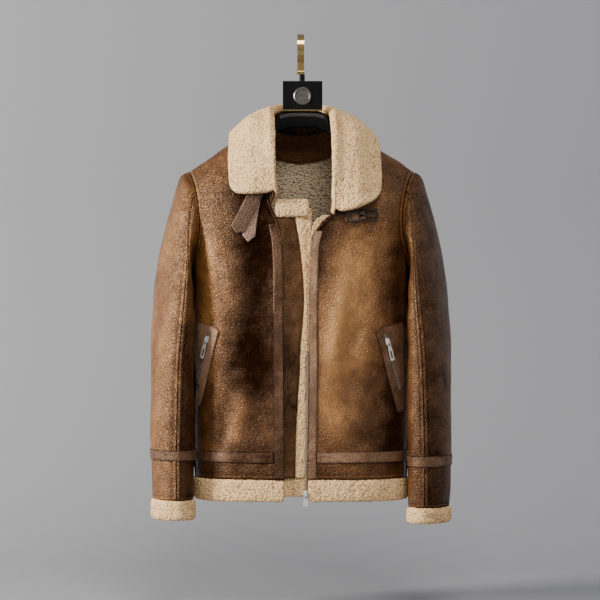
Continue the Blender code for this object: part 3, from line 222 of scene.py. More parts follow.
def smooth(places, values, at):
    """The value at a place on the smooth curve through values, held at its ends beyond them."""
    places, values = np.asarray(places, float), np.asarray(values, float)
    at = np.clip(np.asarray(at, float), places[0], places[-1])
    slopes = np.gradient(values, places, axis=0)
    i = np.clip(np.searchsorted(places, at, side="right") - 1, 0, len(places) - 2)
    step = places[i + 1] - places[i]
    t = (at - places[i]) / step
    if values.ndim > 1:
        t, step = t[..., None], step[..., None]
    start = (1 + 2 * t) * (1 - t) ** 2 * values[i] + t * (1 - t) ** 2 * step * slopes[i]
    return start + t * t * (3 - 2 * t) * values[i + 1] + t * t * (t - 1) * step * slopes[i + 1]


# ---- the shape of the garment

SHOULDER_SLOPE = (SHOULDER_TIP[1] - NECK_SIDE[1]) / (SHOULDER_TIP[0] - NECK_SIDE[0])
FOLD_ENDS = 0.3  # share of a body fold's length over which it fades out


def body_at(name, down):
    """One of the body's measures at a height."""
    return smooth(BODY["down"], BODY[name], down)


def shoulder_down(x):
    """Height of the shoulder seam, carried on to the middle of the neck."""
    return NECK_SIDE[1] + SHOULDER_SLOPE * (np.abs(x) - NECK_SIDE[0])


def back_neck_down(share):
    """Height of the back's neckline, from its middle (0) to the shoulder (1)."""
    return NECK_BACK_DOWN - 17.0 * share**2.4


def fold_height(x, down, face):
    """How far the folds lift the surface, which fades out towards the shoulders and the hem tape."""
    lift = np.zeros(np.broadcast(x, down).shape)
    for side, x0, down0, x1, down1, half, height in BODY_FOLDS:
        if side != face:
            continue
        along = np.array([x1 - x0, down1 - down0], float)
        length = np.hypot(*along)
        along /= length
        dx, dd = x - x0, down - down0
        place = (dx * along[0] + dd * along[1]) / length
        off = (dx * along[1] - dd * along[0]) / half
        ends = clamp(place / FOLD_ENDS) * clamp((1 - place) / FOLD_ENDS)
        lift = lift + height * np.exp(-off * off) * ends * ends * (3 - 2 * ends)
    return lift


def shell_y(x, down, face):
    """Depth of the body's outer surface, the front for face -1 and the back for face 1."""
    x, down = np.asarray(x, float), np.asarray(down, float)
    side, far = body_at("side_y", down), body_at("front_y" if face < 0 else "back_y", down)
    squareness = FRONT_SQUARENESS if face < 0 else BACK_SQUARENESS
    across = clamp(np.abs(x) / body_at("half_width", down))
    round_off = (1 - across**squareness) ** (1 / squareness)
    below = clamp((down - shoulder_down(x)) / SHOULDER_REACH)
    rise = (1 - (1 - below) ** SHOULDER_ROUNDNESS) ** (1 / SHOULDER_ROUNDNESS)
    flat = clamp((1 - across) * 5)
    return side + (far - side) * round_off * rise + face * fold_height(x, down, face) * flat


def on_shell(x, down, face):
    return np.stack([x, shell_y(x, down, face), down], axis=-1)


def armhole():
    """x and down of the armhole, from the shoulder's tip to the armpit, the same at the front and back."""
    angle = np.radians(ARMHOLE_ANGLES)
    share = (1 - np.cos(angle)) / 2
    pit_x = float(body_at("half_width", PIT_DOWN))
    power = np.where(angle < math.pi / 2, 1.4, 3.0)
    x = SHOULDER_TIP[0] * (1 - share) + pit_x * share - ARMHOLE_HOLLOW * np.abs(np.sin(angle)) ** power
    x[-1] = pit_x
    return np.stack([x, SHOULDER_TIP[1] * (1 - share) + PIT_DOWN * share], axis=-1)


def side_line():
    """x and down of the outer edge of a front or back: armhole, then side seam."""
    low = np.array(LOW_ROWS, float)
    return np.concatenate([armhole(), np.stack([body_at("half_width", low), low], axis=-1)])


def neckline_x(down, side):
    """Half the width of the front neckline, a soft curve from the shoulder to the top of the front edge."""
    end = FRONT_EDGE[side]
    t = fade(down, NECK_SIDE[1], end["down"][0])
    return NECK_SIDE[0] + (end["x"][0] - NECK_SIDE[0]) * t + 4.0 * np.sin(math.pi * t)


def front_line(side):
    """x (before its sign) and down of a front's inner edge: neckline, then front edge."""
    downs = np.array(NECK_ROWS[side] + LOW_ROWS, float)
    edge = FRONT_EDGE[side]
    on_edge = smooth(edge["down"], edge["x"], downs)
    return np.stack([np.where(downs < edge["down"][0], neckline_x(downs, side), on_edge), downs], axis=-1)


def seam_shares(count, row_count):
    """Shares of the way to the side: even at the armhole, closer together below where the side rounds away."""
    t = np.linspace(0, 1, count + 1)[None]
    low = clamp(np.arange(row_count) / (len(ARMHOLE_ANGLES) - 1))[:, None] ** 2
    return t * (1 - low) + np.sin(t * math.pi / 2) ** 0.9 * low


def front_grid(side):
    """Outer points of a front: the first column of quads is the stitched edge band."""
    inner, outer = front_line(side), side_line()
    band = inner.copy()
    band[:, 0] += BAND_WIDTH[side]
    band[0, 1] += SHOULDER_SLOPE * BAND_WIDTH[side]
    shares = seam_shares(FRONT_COLUMNS, len(outer))[..., None]
    body = band[:, None] * (1 - shares) + outer[:, None] * shares
    flat = np.concatenate([inner[:, None], body], axis=1)
    return on_shell(SIDES[side] * flat[..., 0], flat[..., 1], -1)


def back_grid():
    """Outer points of the back, from the wearer's right to the left, on the fronts' shoulder and side points."""
    outer, last = side_line(), len(ARMHOLE_ANGLES) - 1
    middle = np.stack([np.zeros(len(outer)), outer[:, 1]], axis=-1)
    middle[: last + 1, 1] = NECK_BACK_DOWN + (PIT_DOWN - NECK_BACK_DOWN) * np.linspace(0, 1, last + 1)
    columns = np.array(NECK_COLUMNS)
    neck = np.stack([NECK_SIDE[0] * columns, back_neck_down(columns)], axis=-1)
    halves = []
    for side, sign in SIDES.items():
        top = np.concatenate([neck, np.abs(front_grid(side)[0, :, ::2])])
        reach = top[:, 0] / SHOULDER_TIP[0]
        low_share = seam_shares(len(top) - 1, len(outer))[-1]
        sag = top - (middle[0] * (1 - reach[:, None]) + outer[0] * reach[:, None])
        rows = []
        for row, (edge, centre) in enumerate(zip(outer, middle)):
            blend = min(row / last, 1.0)
            share = (reach * (1 - blend) + low_share * blend)[:, None]
            rows.append(centre * (1 - share) + edge * share + sag * (1 - blend) ** 1.5)
        flat = np.array(rows)
        halves.append(on_shell(sign * flat[..., 0], flat[..., 1], 1))
    return np.concatenate([halves[0][:, ::-1], halves[1][:, 1:]], axis=1)


def armhole_ring(side):
    """Points round the armhole: front half from the tip to the armpit, then the back half up again."""
    x, down = armhole().T
    front, back = [on_shell(SIDES[side] * x, down, face) for face in (-1, 1)]
    return np.concatenate([front, back[-2:0:-1]])


def sleeve_grid(side):
    """Outer points of a sleeve, a row for each ring, its columns round from the shoulder by the front."""
    rows = np.array(SLEEVE_ROWS)
    index = np.arange(len(SLEEVE["outer_x"]))
    at = {name: smooth(index, column, rows)[:, None] for name, column in SLEEVE.items()}
    first = np.radians(np.array(ARMHOLE_ANGLES, float))
    seams = (0, first[SLEEVE_SEAM_COLUMN], math.pi)
    evened = np.interp(first, seams, (0, math.radians(SLEEVE_SEAM_ANGLE), math.pi))
    turned = clamp(rows / 2.5)[:, None]
    half = first * (1 - turned) + evened * turned
    angle = np.concatenate([half, 2 * math.pi - half[:, -2:0:-1]], axis=1)

    def ring(outer_x, outer_down, inner_x, inner_down, depth, mid, turn):
        lean = np.radians(turn)
        x = (outer_x + inner_x) / 2 + (outer_x - inner_x) / 2 * np.cos(angle) - depth * np.sin(lean) * np.sin(angle)
        y = mid - depth * np.cos(lean) * np.sin(angle)
        down = (outer_down + inner_down) / 2 + (outer_down - inner_down) / 2 * np.cos(angle)
        return np.stack([SIDES[side] * x, y, down], axis=-1)

    names = ("outer_x", "outer_down", "inner_x", "inner_down", "half_depth", "mid_y", "turn")
    grid = ring(*[at[name] for name in names])
    start = ring(*[np.full_like(at[name], SLEEVE[name][0]) for name in names])
    under = clamp(-np.cos(angle))
    share = clamp(at["armhole_share"]) ** (1 + ARMPIT_CLEARING * under)
    grid += share[..., None] * (armhole_ring(side)[None] - start)
    grid[0] = armhole_ring(side)
    grid[..., 2] += SLEEVE_LENGTHEN[side] * fade(rows, ELBOW_ROW, index[-1])[:, None]
    middle = grid.mean(axis=1, keepdims=True)
    dent = np.zeros(angle.shape)
    for row, where, half_angle, depth in SLEEVE_FOLDS:
        apart = (np.degrees(angle) - where + 180) % 360 - 180
        dent += depth * np.exp(-(((rows[:, None] - row) / SLEEVE_FOLD_ROWS) ** 2) - (apart / half_angle) ** 2)
    return grid - unit(grid - middle) * dent[..., None]


def shared_normals(grids, rings):
    """Outward normals at the points of all grids, averaged where panels meet.

    At the armpit the sleeve folds back on the body, so a panel keeps its own normal where the average turns too far.
    """
    total = {}

    def key(point):
        return tuple(np.round(point, 2))

    alone = []
    for grid, is_ring in zip(grids, rings):
        rows, columns = grid.shape[:2]
        own = np.zeros(grid.shape)
        for row, column in itertools.product(range(rows - 1), range(columns if is_ring else columns - 1)):
            after = (column + 1) % columns
            corners = ((row, column), (row, after), (row + 1, after), (row + 1, column))
            normal = np.cross(grid[corners[2]] - grid[corners[0]], grid[corners[3]] - grid[corners[1]])
            for corner in corners:
                total[key(grid[corner])] = total.get(key(grid[corner]), 0) + normal
                own[corner] += normal
        alone.append(unit(own))
    made = []
    for grid, own in zip(grids, alone):
        shared = unit(np.array([[total[key(point)] for point in row] for row in grid]))
        agree = clamp((np.sum(own * shared, axis=-1, keepdims=True) - 0.3) / 0.4)
        made.append(unit(shared * agree + own * (1 - agree)))
    return made


def edge_gap(grid):
    """The grid with its edges drawn in by half a seam's gap, along the panel."""
    drawn = grid.copy()
    for edge, beside in ((0, 1), (-1, -2)):
        drawn[edge] += SEAM / 2 * unit(grid[beside] - grid[edge])
    for edge, beside in ((0, 1), (-1, -2)):
        drawn[:, edge] += SEAM / 2 * unit(grid[:, beside] - grid[:, edge])
    return drawn


def ridged(grid, normals):
    """Raises both long edges of a sleeve piece into the ridge beside its seam."""
    for flip in (False, True):
        if flip:
            grid, normals = grid[:, ::-1], normals[:, ::-1]
        step = norm(grid[:, 1] - grid[:, 0], keepdims=True)
        columns, turned = [grid[:, 0]], [normals[:, 0]]
        for width in RIDGE_WIDTHS:
            share = np.clip(width / step, 0, 0.8)
            columns.append(grid[:, 0] * (1 - share) + grid[:, 1] * share)
            turned.append(unit(normals[:, 0] * (1 - share) + normals[:, 1] * share))
        grid = np.concatenate([np.stack(columns, axis=1), grid[:, 1:]], axis=1)
        normals = np.concatenate([np.stack(turned, axis=1), normals[:, 1:]], axis=1)
        grid[1:, :2] += RIDGE_HEIGHT * normals[1:, :2]
    return grid[:, ::-1], normals[:, ::-1]


def thinned(grid):
    """Share of the wall's full thickness: less where three or four panels meet at the shoulder's tip and the armpit."""
    share = np.ones(grid.shape[:2])
    pit_x, pit_y = float(body_at("half_width", PIT_DOWN)), float(body_at("side_y", PIT_DOWN))
    for sign in SIDES.values():
        for corner in ((sign * SHOULDER_TIP[0], 0, SHOULDER_TIP[1]), (sign * pit_x, pit_y, PIT_DOWN)):
            near = clamp(norm(grid - corner) / THIN_REACH)
            share = np.minimum(share, THIN_LEAST + (1 - THIN_LEAST) * near)
    return share[..., None]


def neck_point(side, place):
    """Point of the neckline: 0 at the front end, 1 at the shoulder, 2 at the middle of the back."""
    sign = SIDES[side]
    if place <= 1:
        end = FRONT_EDGE[side]["down"][0]
        down = end + (NECK_SIDE[1] - end) * place
        return on_shell(sign * float(neckline_x(down, side)), down, -1)
    return on_shell(sign * NECK_SIDE[0] * (2 - place), back_neck_down(2 - place), 1)


def collar_grid():
    """Outer (leaf side) and inner points of the collar's wall, a row for each section round the neck."""
    table = np.array([*COLLAR["r"], *COLLAR["back"], *reversed(COLLAR["l"])], float)
    right = len(COLLAR["r"]) + 1
    table[:right, 1::3] *= -1
    table[right:, 0] = 4 - table[right:, 0]
    drop = np.array([0, 0, COLLAR_DROP])
    lines = []
    for section in smooth(np.arange(len(table)), table, np.linspace(0, len(table) - 1, COLLAR_SECTIONS)):
        place = min(max(section[0], 0.0), 4.0)
        neck = neck_point("r", place) if place <= 2 else neck_point("l", 4 - place)
        roll, middle, edge = section[1:].reshape(3, 3)
        leaf = middle - roll
        leaf[2] *= 0.2
        away = leaf / np.linalg.norm(leaf)
        foot = neck + (roll - neck) / np.linalg.norm(roll - neck) * COLLAR_FOOT
        before = roll - away * COLLAR_TURN * 0.4 + drop
        after = roll + away * COLLAR_TURN * 1.6 + drop * 0.4
        path = np.array([foot, before, roll, after, middle, edge])
        ends = np.linspace(0, len(path) - 1, COLLAR_AROUND)
        lines.append(smooth(np.arange(len(path)), path, ends))
    lines = np.array(lines)
    thick = np.interp(ends, np.arange(len(path)), COLLAR_THICK)[:, None]
    normal = unit(np.cross(np.gradient(lines, axis=0), np.gradient(lines, axis=1)))
    if normal[len(lines) // 2, -3, 2] > 0:
        normal = -normal
    return lines + normal * thick / 2, lines - normal * thick / 2


def underlap_y(x, down):
    """Outer face of the underlap: behind the image-left front's wall, then sloping back to pass behind the other."""
    behind = shell_y(-40.0, down, -1) + WALL + UNDERLAP_CLEAR
    return behind + (UNDERLAP_BACK - behind) * fade(x, FRONT_R_EDGE, STRIP_RIGHT)


def fleece_edge(edge):
    """The line that a fleece hem hangs from, just under the leather's edge."""
    return edge + (0, 0, SEAM)


# ---- fine meshes


def place(points):
    """Points in x, y, down millimetres as world metres."""
    return np.asarray(points, float) * np.array([MM, MM, -MM])


def resample(values, places, axis):
    """Values read off the smooth curve along one axis at fractional places."""
    values = np.moveaxis(np.asarray(values, float), axis, 0)
    flat = values.reshape(len(values), -1)
    made = smooth(np.arange(len(values)), flat, places).reshape(len(places), *values.shape[1:])
    return np.moveaxis(made, 0, axis)


def spread(grid, step, axis):
    """Places along an axis that stand about step apart."""
    length = norm(np.diff(grid, axis=axis)).max(axis=1 - axis)
    parts = [np.linspace(k, k + 1, max(1, int(round(size / step))), endpoint=False) for k, size in enumerate(length)]
    return np.concatenate(parts + [[len(length)]])


def refine(step, closed, *grids):
    """The grids on a mesh of about step. Closed says of rows and columns whether the last joins the first."""
    coarse = grids[0]
    for axis, joined in enumerate(closed):
        if joined:
            around = np.arange(-2, coarse.shape[axis] + 3)
            grids = [grid.take(around, axis, mode="wrap") for grid in grids]
            places = spread(np.concatenate([coarse, coarse.take([0], axis)], axis), step, axis)[:-1] + 2
        else:
            places = spread(coarse, step, axis)
        grids = [resample(grid, places, axis) for grid in grids]
    return grids


def run_along(points, axis=0):
    """Length along an axis from its start."""
    return np.insert(np.cumsum(norm(np.diff(points, axis=axis)), axis=axis), 0, 0, axis=axis)


def edge_distance(grid, closed):
    """How far each point of a grid is from the grid's nearest edge, along the surface."""
    across = run_along(grid, 1)
    near = np.minimum(across, across[:, -1:] - across)
    if closed:
        return near
    along = run_along(grid, 0)
    return np.minimum(near, np.minimum(along, along[-1:] - along))


def noise(points, size, seed):
    """Smooth noise from -1 to 1 whose lumps are about size across."""
    table = np.random.default_rng(seed).uniform(-1, 1, (32, 32, 32))
    at = np.asarray(points, float) / size
    cell = np.floor(at).astype(int)
    t = at - cell
    t = t * t * (3 - 2 * t)
    total = np.zeros(at.shape[:-1])
    for corner in itertools.product((0, 1), repeat=3):
        where = (cell + corner) % 32
        total += np.prod(np.where(corner, t, 1 - t), axis=-1) * table[where[..., 0], where[..., 1], where[..., 2]]
    return total


def put(made):
    bpy.context.scene.collection.objects.link(made)
    return made


def build(name, points, faces, looks, face_looks=None, tones=None):
    """An object from points in millimetres, its faces turned out."""
    points, faces = place(points), np.asarray(faces)
    corner = points[faces]
    volume = sum(
        np.einsum("ij,ij->", corner[:, 0], np.cross(corner[:, k - 1], corner[:, k])) for k in range(2, faces.shape[1])
    )
    if volume < 0:
        faces = faces[:, ::-1]
    mesh = bpy.data.meshes.new(name)
    mesh.from_pydata(points.tolist(), [], faces.tolist())
    mesh.polygons.foreach_set("use_smooth", np.ones(len(faces), bool))
    for look in looks:
        mesh.materials.append(LOOKS[look])
    if face_looks is not None:
        mesh.polygons.foreach_set("material_index", np.asarray(face_looks, np.int32))
    if tones is not None:
        layer = mesh.attributes.new("tone", "FLOAT", "POINT")
        layer.data.foreach_set("value", np.asarray(tones, np.float32).ravel())
    mesh.update()
    return put(bpy.data.objects.new(name, mesh))


def quads(*corners):
    return np.stack(np.broadcast_arrays(*corners), axis=-1).reshape(-1, 4)


def wall_faces(rows, columns, closed):
    """Faces of a wall of two grids, and for each whether it is outer (0), inner (1) or its rim (2)."""
    count = rows * columns

    def at(row, column):
        return (row % rows) * columns + column

    row = np.arange(rows if closed else rows - 1)[:, None]
    column = np.arange(columns - 1)[None]
    quad = quads(at(row, column), at(row, column + 1), at(row + 1, column + 1), at(row + 1, column))
    parts, kinds = [quad, quad[:, ::-1] + count], [np.zeros(len(quad)), np.ones(len(quad))]
    down, across = row[:, 0], column[0]
    rims = [(at(down + 1, 0), at(down, 0)), (at(down, columns - 1), at(down + 1, columns - 1))]
    if not closed:
        rims += [(at(0, across), at(0, across + 1)), (at(rows - 1, across + 1), at(rows - 1, across))]
    for a, b in rims:
        parts.append(np.stack([b, a, a + count, b + count], axis=-1))
        kinds.append(np.full(len(a), 2))
    return np.concatenate(parts), np.concatenate(kinds).astype(int)


# Places where the leather lies flat because hardware sits on it: x, down and reach.
CALM = ((-190, 590, 45), (190, 590, 45), (113, 352, 60), (-95, 340, 50))
# Soft folds on the fronts: x and down of both ends, half the width, and how far it stands out.
FOLDS = (
    (84, 440, 47, 700, 20, 4.0), (112, 575, 88, 650, 14, 2.6), (60, 690, 96, 800, 18, 2.4),
    (150, 420, 168, 560, 16, -2.2), (128, 640, 150, 800, 18, -2.4), (-108, 690, -136, 780, 15, 3.2),
    (-146, 700, -150, 790, 13, -3.0), (-70, 360, -62, 560, 22, -3.2), (-120, 420, -150, 600, 22, 2.6),
    (-75, 600, -95, 760, 18, -2.0), (30, 400, 34, 560, 10, 1.6),
)
FOLD_RUN_OUT = 0.12  # share of a soft fold's length by which it runs on past its ends
# Painted light and shade on the fronts of the body and sleeves: lit zones, shaded zones and the collar's shadow.
# x and down of both ends, half the width, and how much.
LIGHT_AND_SHADE_ZONES = (
    (113, 414, 48, 714, 44, 0.20), (182, 420, 180, 800, 20, -0.24), (-88, 350, -84, 600, 60, -0.27),
    (-90, 600, -88, 790, 66, -0.20), (-92, 300, -84, 430, 40, -0.14), (-178, 400, -174, 640, 24, 0.24),
    (-104, 700, -121, 760, 15, 0.20), (-264, 300, -268, 860, 26, 0.14), (-215, 560, -212, 880, 18, -0.20),
    (250, 330, 256, 900, 36, -0.22), (205, 420, 205, 760, 12, 0.12), (34, 350, 28, 450, 26, -0.28),
    (40, 350, 110, 380, 36, -0.10), (-160, 300, -120, 300, 40, -0.06), (168, 650, 172, 800, 26, -0.14),
    (120, 800, 180, 830, 40, -0.10), (-40, 790, -190, 830, 20, -0.06), (100, 285, 190, 320, 22, 0.10),
)


def beside_line(points, ends, run_out=0.0):
    """Seen from the front: the share of the way along a line, kept within its run-out, and the distance off it."""
    x0, down0, x1, down1 = ends
    line = np.array([x1 - x0, down1 - down0], float)
    off = points[..., ::2] - (x0, down0)
    share = np.clip(off @ line / (line @ line), -run_out, 1 + run_out)
    return share, norm(off - share[..., None] * line)


def relief(points, amount):
    """Folds and small waves of worn leather, the same for everything that lies on one panel."""
    x, y, down = np.moveaxis(points, -1, 0)
    calm = np.ones(x.shape)
    for middle_x, middle_down, reach in CALM:
        calm *= clamp(np.hypot(x - middle_x, down - middle_down) / reach * 1.4 - 0.4)
    stretched = points * np.array([1.0, 1.0, 0.55])
    waves = 1.4 * noise(stretched, 46, 3) + 0.75 * noise(stretched, 19, 4) + 0.25 * noise(points, 8, 5)
    front = fade(y, -25, -55) * fade(np.abs(x), 208, 183)
    for *ends, half, height in FOLDS:
        share, apart = beside_line(points, ends, FOLD_RUN_OUT)
        swell = np.sin(math.pi * clamp((share + FOLD_RUN_OUT) / (1 + 2 * FOLD_RUN_OUT))) ** 0.7
        waves = waves + height * front * hump(apart, 0, half) * swell
    return waves * calm * amount


def tone_of(points, distance, wave):
    """Tone from 0 dark to 1 light. The zones paint light and shade, folds get painted shade in troughs and light on
    ridges, noise gives random patches, and seams are darker with a painted highlight on the ridge beside them.
    """
    front = fade(points[..., 1], 20, -10)
    # Painted light and shade from the zones table.
    zones = sum(amount * front * hump(beside_line(points, ends)[1], 0, half) for *ends, half, amount in LIGHT_AND_SHADE_ZONES)
    patches = 0.07 * noise(points, 95, 11) + 0.055 * noise(points, 38, 12) + 0.08 * noise(points, 14, 13)
    # Darker towards the edges, and darkest right at the seam: painted shade in its groove.
    seam = -0.16 * np.exp(-distance / 1.0) - 0.10 * np.exp(-distance / 26)
    # A painted highlight along the ridge 3.2 mm in, and a painted shade line 7.6 mm in where it drops back.
    seam = seam + 0.20 * hump(distance, 3.2, 2.2) - 0.12 * hump(distance, 7.6, 1.7)
    # Painted shade in the relief's troughs and painted light on its ridges.
    return clamp(0.56 + zones + patches + seam + 0.035 * wave)


def torso_tone(points, distance, wave):
    """The tone, with painted shade on the sides under the arms where the sleeves lie against the body."""
    side = fade(np.abs(points[..., 0]), 199, 204) * fade(points[..., 2], 430, 450)
    return clamp(tone_of(points, distance, wave) - 0.5 * side)


def tape_tone(points, distance, wave):
    """Tapes are painted lighter on the wearer's left front and darker on the right front, as light and shade fall;
    the welt on the right pocket is lightest, a painted highlight.
    """
    x, y, down = np.moveaxis(points, -1, 0)
    # Painted light on the left front's tapes and painted shade on the right front's.
    lighter = np.where(x > 0, 0.21, -0.20) * (y < 0) * fade(np.abs(x), 150, 110)
    # Painted highlight on the right pocket's welt.
    welt = 0.34 * fade(x, -150, -160) * fade(x, -206, -200) * (down < 720)
    patches = 0.14 * noise(points, 30, 21) + 0.1 * noise(points, 9, 22)
    return clamp(0.58 + lighter + welt + patches - 0.42 * np.exp(-distance / 1.1))


def flat_tone(base, *lumps, edge=0.0):
    """A tone that is even but for lumps of noise, given as amount, size and seed, and a lighter edge."""

    def tone(points, distance, wave):
        patches = sum(amount * noise(points, size, seed) for amount, size, seed in lumps)
        return clamp(base + patches + edge * np.exp(-distance))

    return tone


def side_fullness(points):
    """The back is a little fuller beside the side seams, below the armholes."""
    x, y, down = np.moveaxis(points, -1, 0)
    return 5.0 * (fade(np.abs(x), 192, 202) * fade(y, 8, 30)) * fade(down, 446, 460) * fade(down, 838, 818)


def round_down(distance, radius):
    """How far a surface drops towards a rounded edge of the radius."""
    t = clamp(1 - distance / radius)
    return radius * (1 - np.sqrt(1 - np.minimum(t, 0.995) ** 2))


PUFF_REACH = 5.0  # how far in from its edges a padded piece reaches its full height
INSIDE_TONE = 0.5


def leather_wall(
    name, outer, inner, normals, looks, step=5.0, closed=False, radius=0.8, waves=1.0, puff=0.0, tone=tone_of,
    extra=None,
):
    """A leather wall: worn relief, edges turned down to the seam, and the two looks outside and inside."""
    fine, inside, turn = refine(step, (closed, False), outer, inner, normals)
    turn = unit(turn)
    distance = edge_distance(fine, closed)
    wave = relief(fine, waves) if waves else np.zeros(fine.shape[:2])
    lift = wave - round_down(distance, radius)
    if puff:
        lift = lift + puff * (1 - np.exp(-distance / PUFF_REACH)) - puff
    if extra is not None:
        lift = lift + extra(fine)
    surface = fine + turn * lift[..., None]
    tones = tone(fine, distance, wave)
    faces, kinds = wall_faces(*fine.shape[:2], closed)
    points = np.concatenate([surface.reshape(-1, 3), inside.reshape(-1, 3)])
    both = np.concatenate([tones.ravel(), np.full(tones.size, INSIDE_TONE)])
    return build(name, points, faces, looks, (kinds == 1).astype(int), both), surface, turn


CURL_SIZE = 3.9
UNDERSIDE_TONE = 0.4
UNDERSIDE_CURL = 0.7  # height of the underside's curls as a share of the face's


def tufts(points, height, seed):
    """Curly clumps: how far each point stands up, from its distance to the nearest clump's middle."""
    chance = np.random.default_rng(seed)
    flat = points.reshape(-1, 3)
    _, first = np.unique(np.floor(flat / CURL_SIZE).astype(int), axis=0, return_index=True)
    middles = flat[first] + chance.normal(0, CURL_SIZE * 0.3, (len(first), 3))
    tree = KDTree(len(middles))
    for index, middle in enumerate(middles):
        tree.insert(middle, index)
    tree.balance()
    near = np.array([tree.find(point)[2] for point in flat]).reshape(points.shape[:-1])
    dome = np.sqrt(1 - clamp(near / CURL_SIZE) ** 2)
    return height * (dome - 0.55 + 0.28 * noise(points, 3.1, seed + 9) + 0.3 * noise(points, 16, seed + 3))


def round_corners(grid, radius):
    """A grid whose last column's two corners are drawn in to an arc."""
    run, across = run_along(grid, 0), run_along(grid, 1)
    right = clamp(1 - (across[:, -1:] - across) / radius)
    along_row, along_column = unit(np.gradient(grid, axis=0)), unit(np.gradient(grid, axis=1))
    moved = grid.copy()
    for near, way in ((run, 1), (run[-1:] - run, -1)):
        end = clamp(1 - near / radius)
        size = np.hypot(end, right)
        shrink = np.where(size > 0, 1 - np.maximum(end, right) / np.maximum(size, 1e-9), 0)
        moved += (along_row * way * end[..., None] - along_column * right[..., None]) * (shrink * radius)[..., None]
    return moved


def fleece_wall(name, outer, inner, step, height, lining=None, plain=None, corner=0.0):
    """A fleece wall with rounded edges and a curly face. The lining, where given, is its plain inner side."""
    fine, inside = refine(step, (False, False), outer, inner)
    if corner:
        fine, inside = round_corners(fine, corner), round_corners(inside, corner)
    middle, half = (fine + inside) / 2, (fine - inside) / 2
    turn, thick = unit(half), norm(half, keepdims=True)
    distance = edge_distance(middle, False)[..., None]
    rounded = turn * thick * np.sqrt(np.clip(1 - clamp(1 - distance / thick) ** 2, 0.004, 1))
    smooth_top, low = middle + rounded, middle - rounded
    curl = tufts(smooth_top, height, 5)
    top = smooth_top + turn * curl[..., None]
    if lining is None:
        low = low - turn * tufts(low, height * UNDERSIDE_CURL, 6)[..., None]
    rows, columns = fine.shape[:2]
    faces, kinds = wall_faces(rows, columns, False)
    # The tone is the curls' height, which the fleece look paints darker where low, as shade in the hollows.
    tones = np.concatenate([curl.ravel() / height, np.full(curl.size, UNDERSIDE_TONE)])
    under = kinds == 1
    if plain is not None:
        bare = plain(np.arange(rows)[:, None] / (rows - 1), np.arange(columns)[None] / (columns - 1))
        top = np.where(bare[..., None], smooth_top, top)
        under |= (faces < rows * columns).all(axis=1) & bare.ravel()[faces[:, 0] % (rows * columns)]
    points = np.concatenate([top.reshape(-1, 3), low.reshape(-1, 3)])
    return build(name, points, faces, ["fleece", lining or "fleece"], under.astype(int), tones)


TUBE_END = 5.0  # length over which a band's end rounds off
TUBE_TIP = 0.45  # share of its section that is left at the very end


def steps_along(points, closed):
    """The way on from each row of points, where closed rows join their last to their first."""
    if closed:
        return np.roll(points, -1, axis=0) - np.roll(points, 1, axis=0)
    return np.gradient(points, axis=0)


def fleece_tube(name, loops, closed=False, step=2.2, height=2.0):
    """A fleece band from its coarse loops, rounded at its ends."""
    (fine,) = refine(step, (closed, True), np.asarray(loops, float))
    centre = fine.mean(axis=1, keepdims=True)
    if not closed:
        run = run_along(centre[:, 0])
        near = np.minimum(run, run[-1] - run)
        share = np.sqrt(clamp(1 - clamp(1 - near / TUBE_END) ** 2))[:, None, None]
        fine = centre + (fine - centre) * (TUBE_TIP + (1 - TUBE_TIP) * share)
    around = unit(np.roll(fine, -1, axis=1) - np.roll(fine, 1, axis=1))
    ahead = steps_along(fine, closed)
    turn = unit(np.cross(around, ahead))
    turn = np.where(np.sum(turn * (fine - centre), axis=-1).mean() < 0, -turn, turn)
    curl = tufts(fine, height, 7)
    surface = fine + turn * curl[..., None]
    rings, count = fine.shape[:2]
    ring, k = np.arange(rings if closed else rings - 1)[:, None], np.arange(count)[None]
    start, after, beside = ring * count, (ring + 1) % rings * count, (k + 1) % count
    faces = quads(start + k, start + beside, after + beside, after + k)
    if not closed:
        ends = []
        for base, way in ((0, -1), ((rings - 1) * count, 1)):
            for low in range((count - 2) // 2):
                high = count - 1 - low
                ends.append([base + spot for spot in (low, low + 1, high - 1, high)][::way])
        faces = np.concatenate([faces, np.array(ends)])
    # The tone is the curls' height, which the fleece look paints darker where low, as shade in the hollows.
    return build(name, surface.reshape(-1, 3), faces, ["fleece"], None, curl.ravel() / height), surface


LEAST_WIDTH = 0.0104


def dress(made, node, flat_grid, closed=False):
    """Puts a piece in its CAD node's place and hides the node. The cloth's area, length and width are worked out but
    kept nowhere.
    """
    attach(made, "jacket")
    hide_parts(node)
    area = np.zeros(len(made.data.polygons))
    made.data.polygons.foreach_get("area", area)
    grid = np.asarray(flat_grid) * MM
    if closed:
        grid = np.concatenate([grid, grid[:1]])
    length = round(norm(np.diff(grid, axis=0)).sum(axis=0).max(), 4)
    width = round(max(norm(np.diff(grid, axis=1)).sum(axis=1).max(), LEAST_WIDTH), 4)


# ---- materials


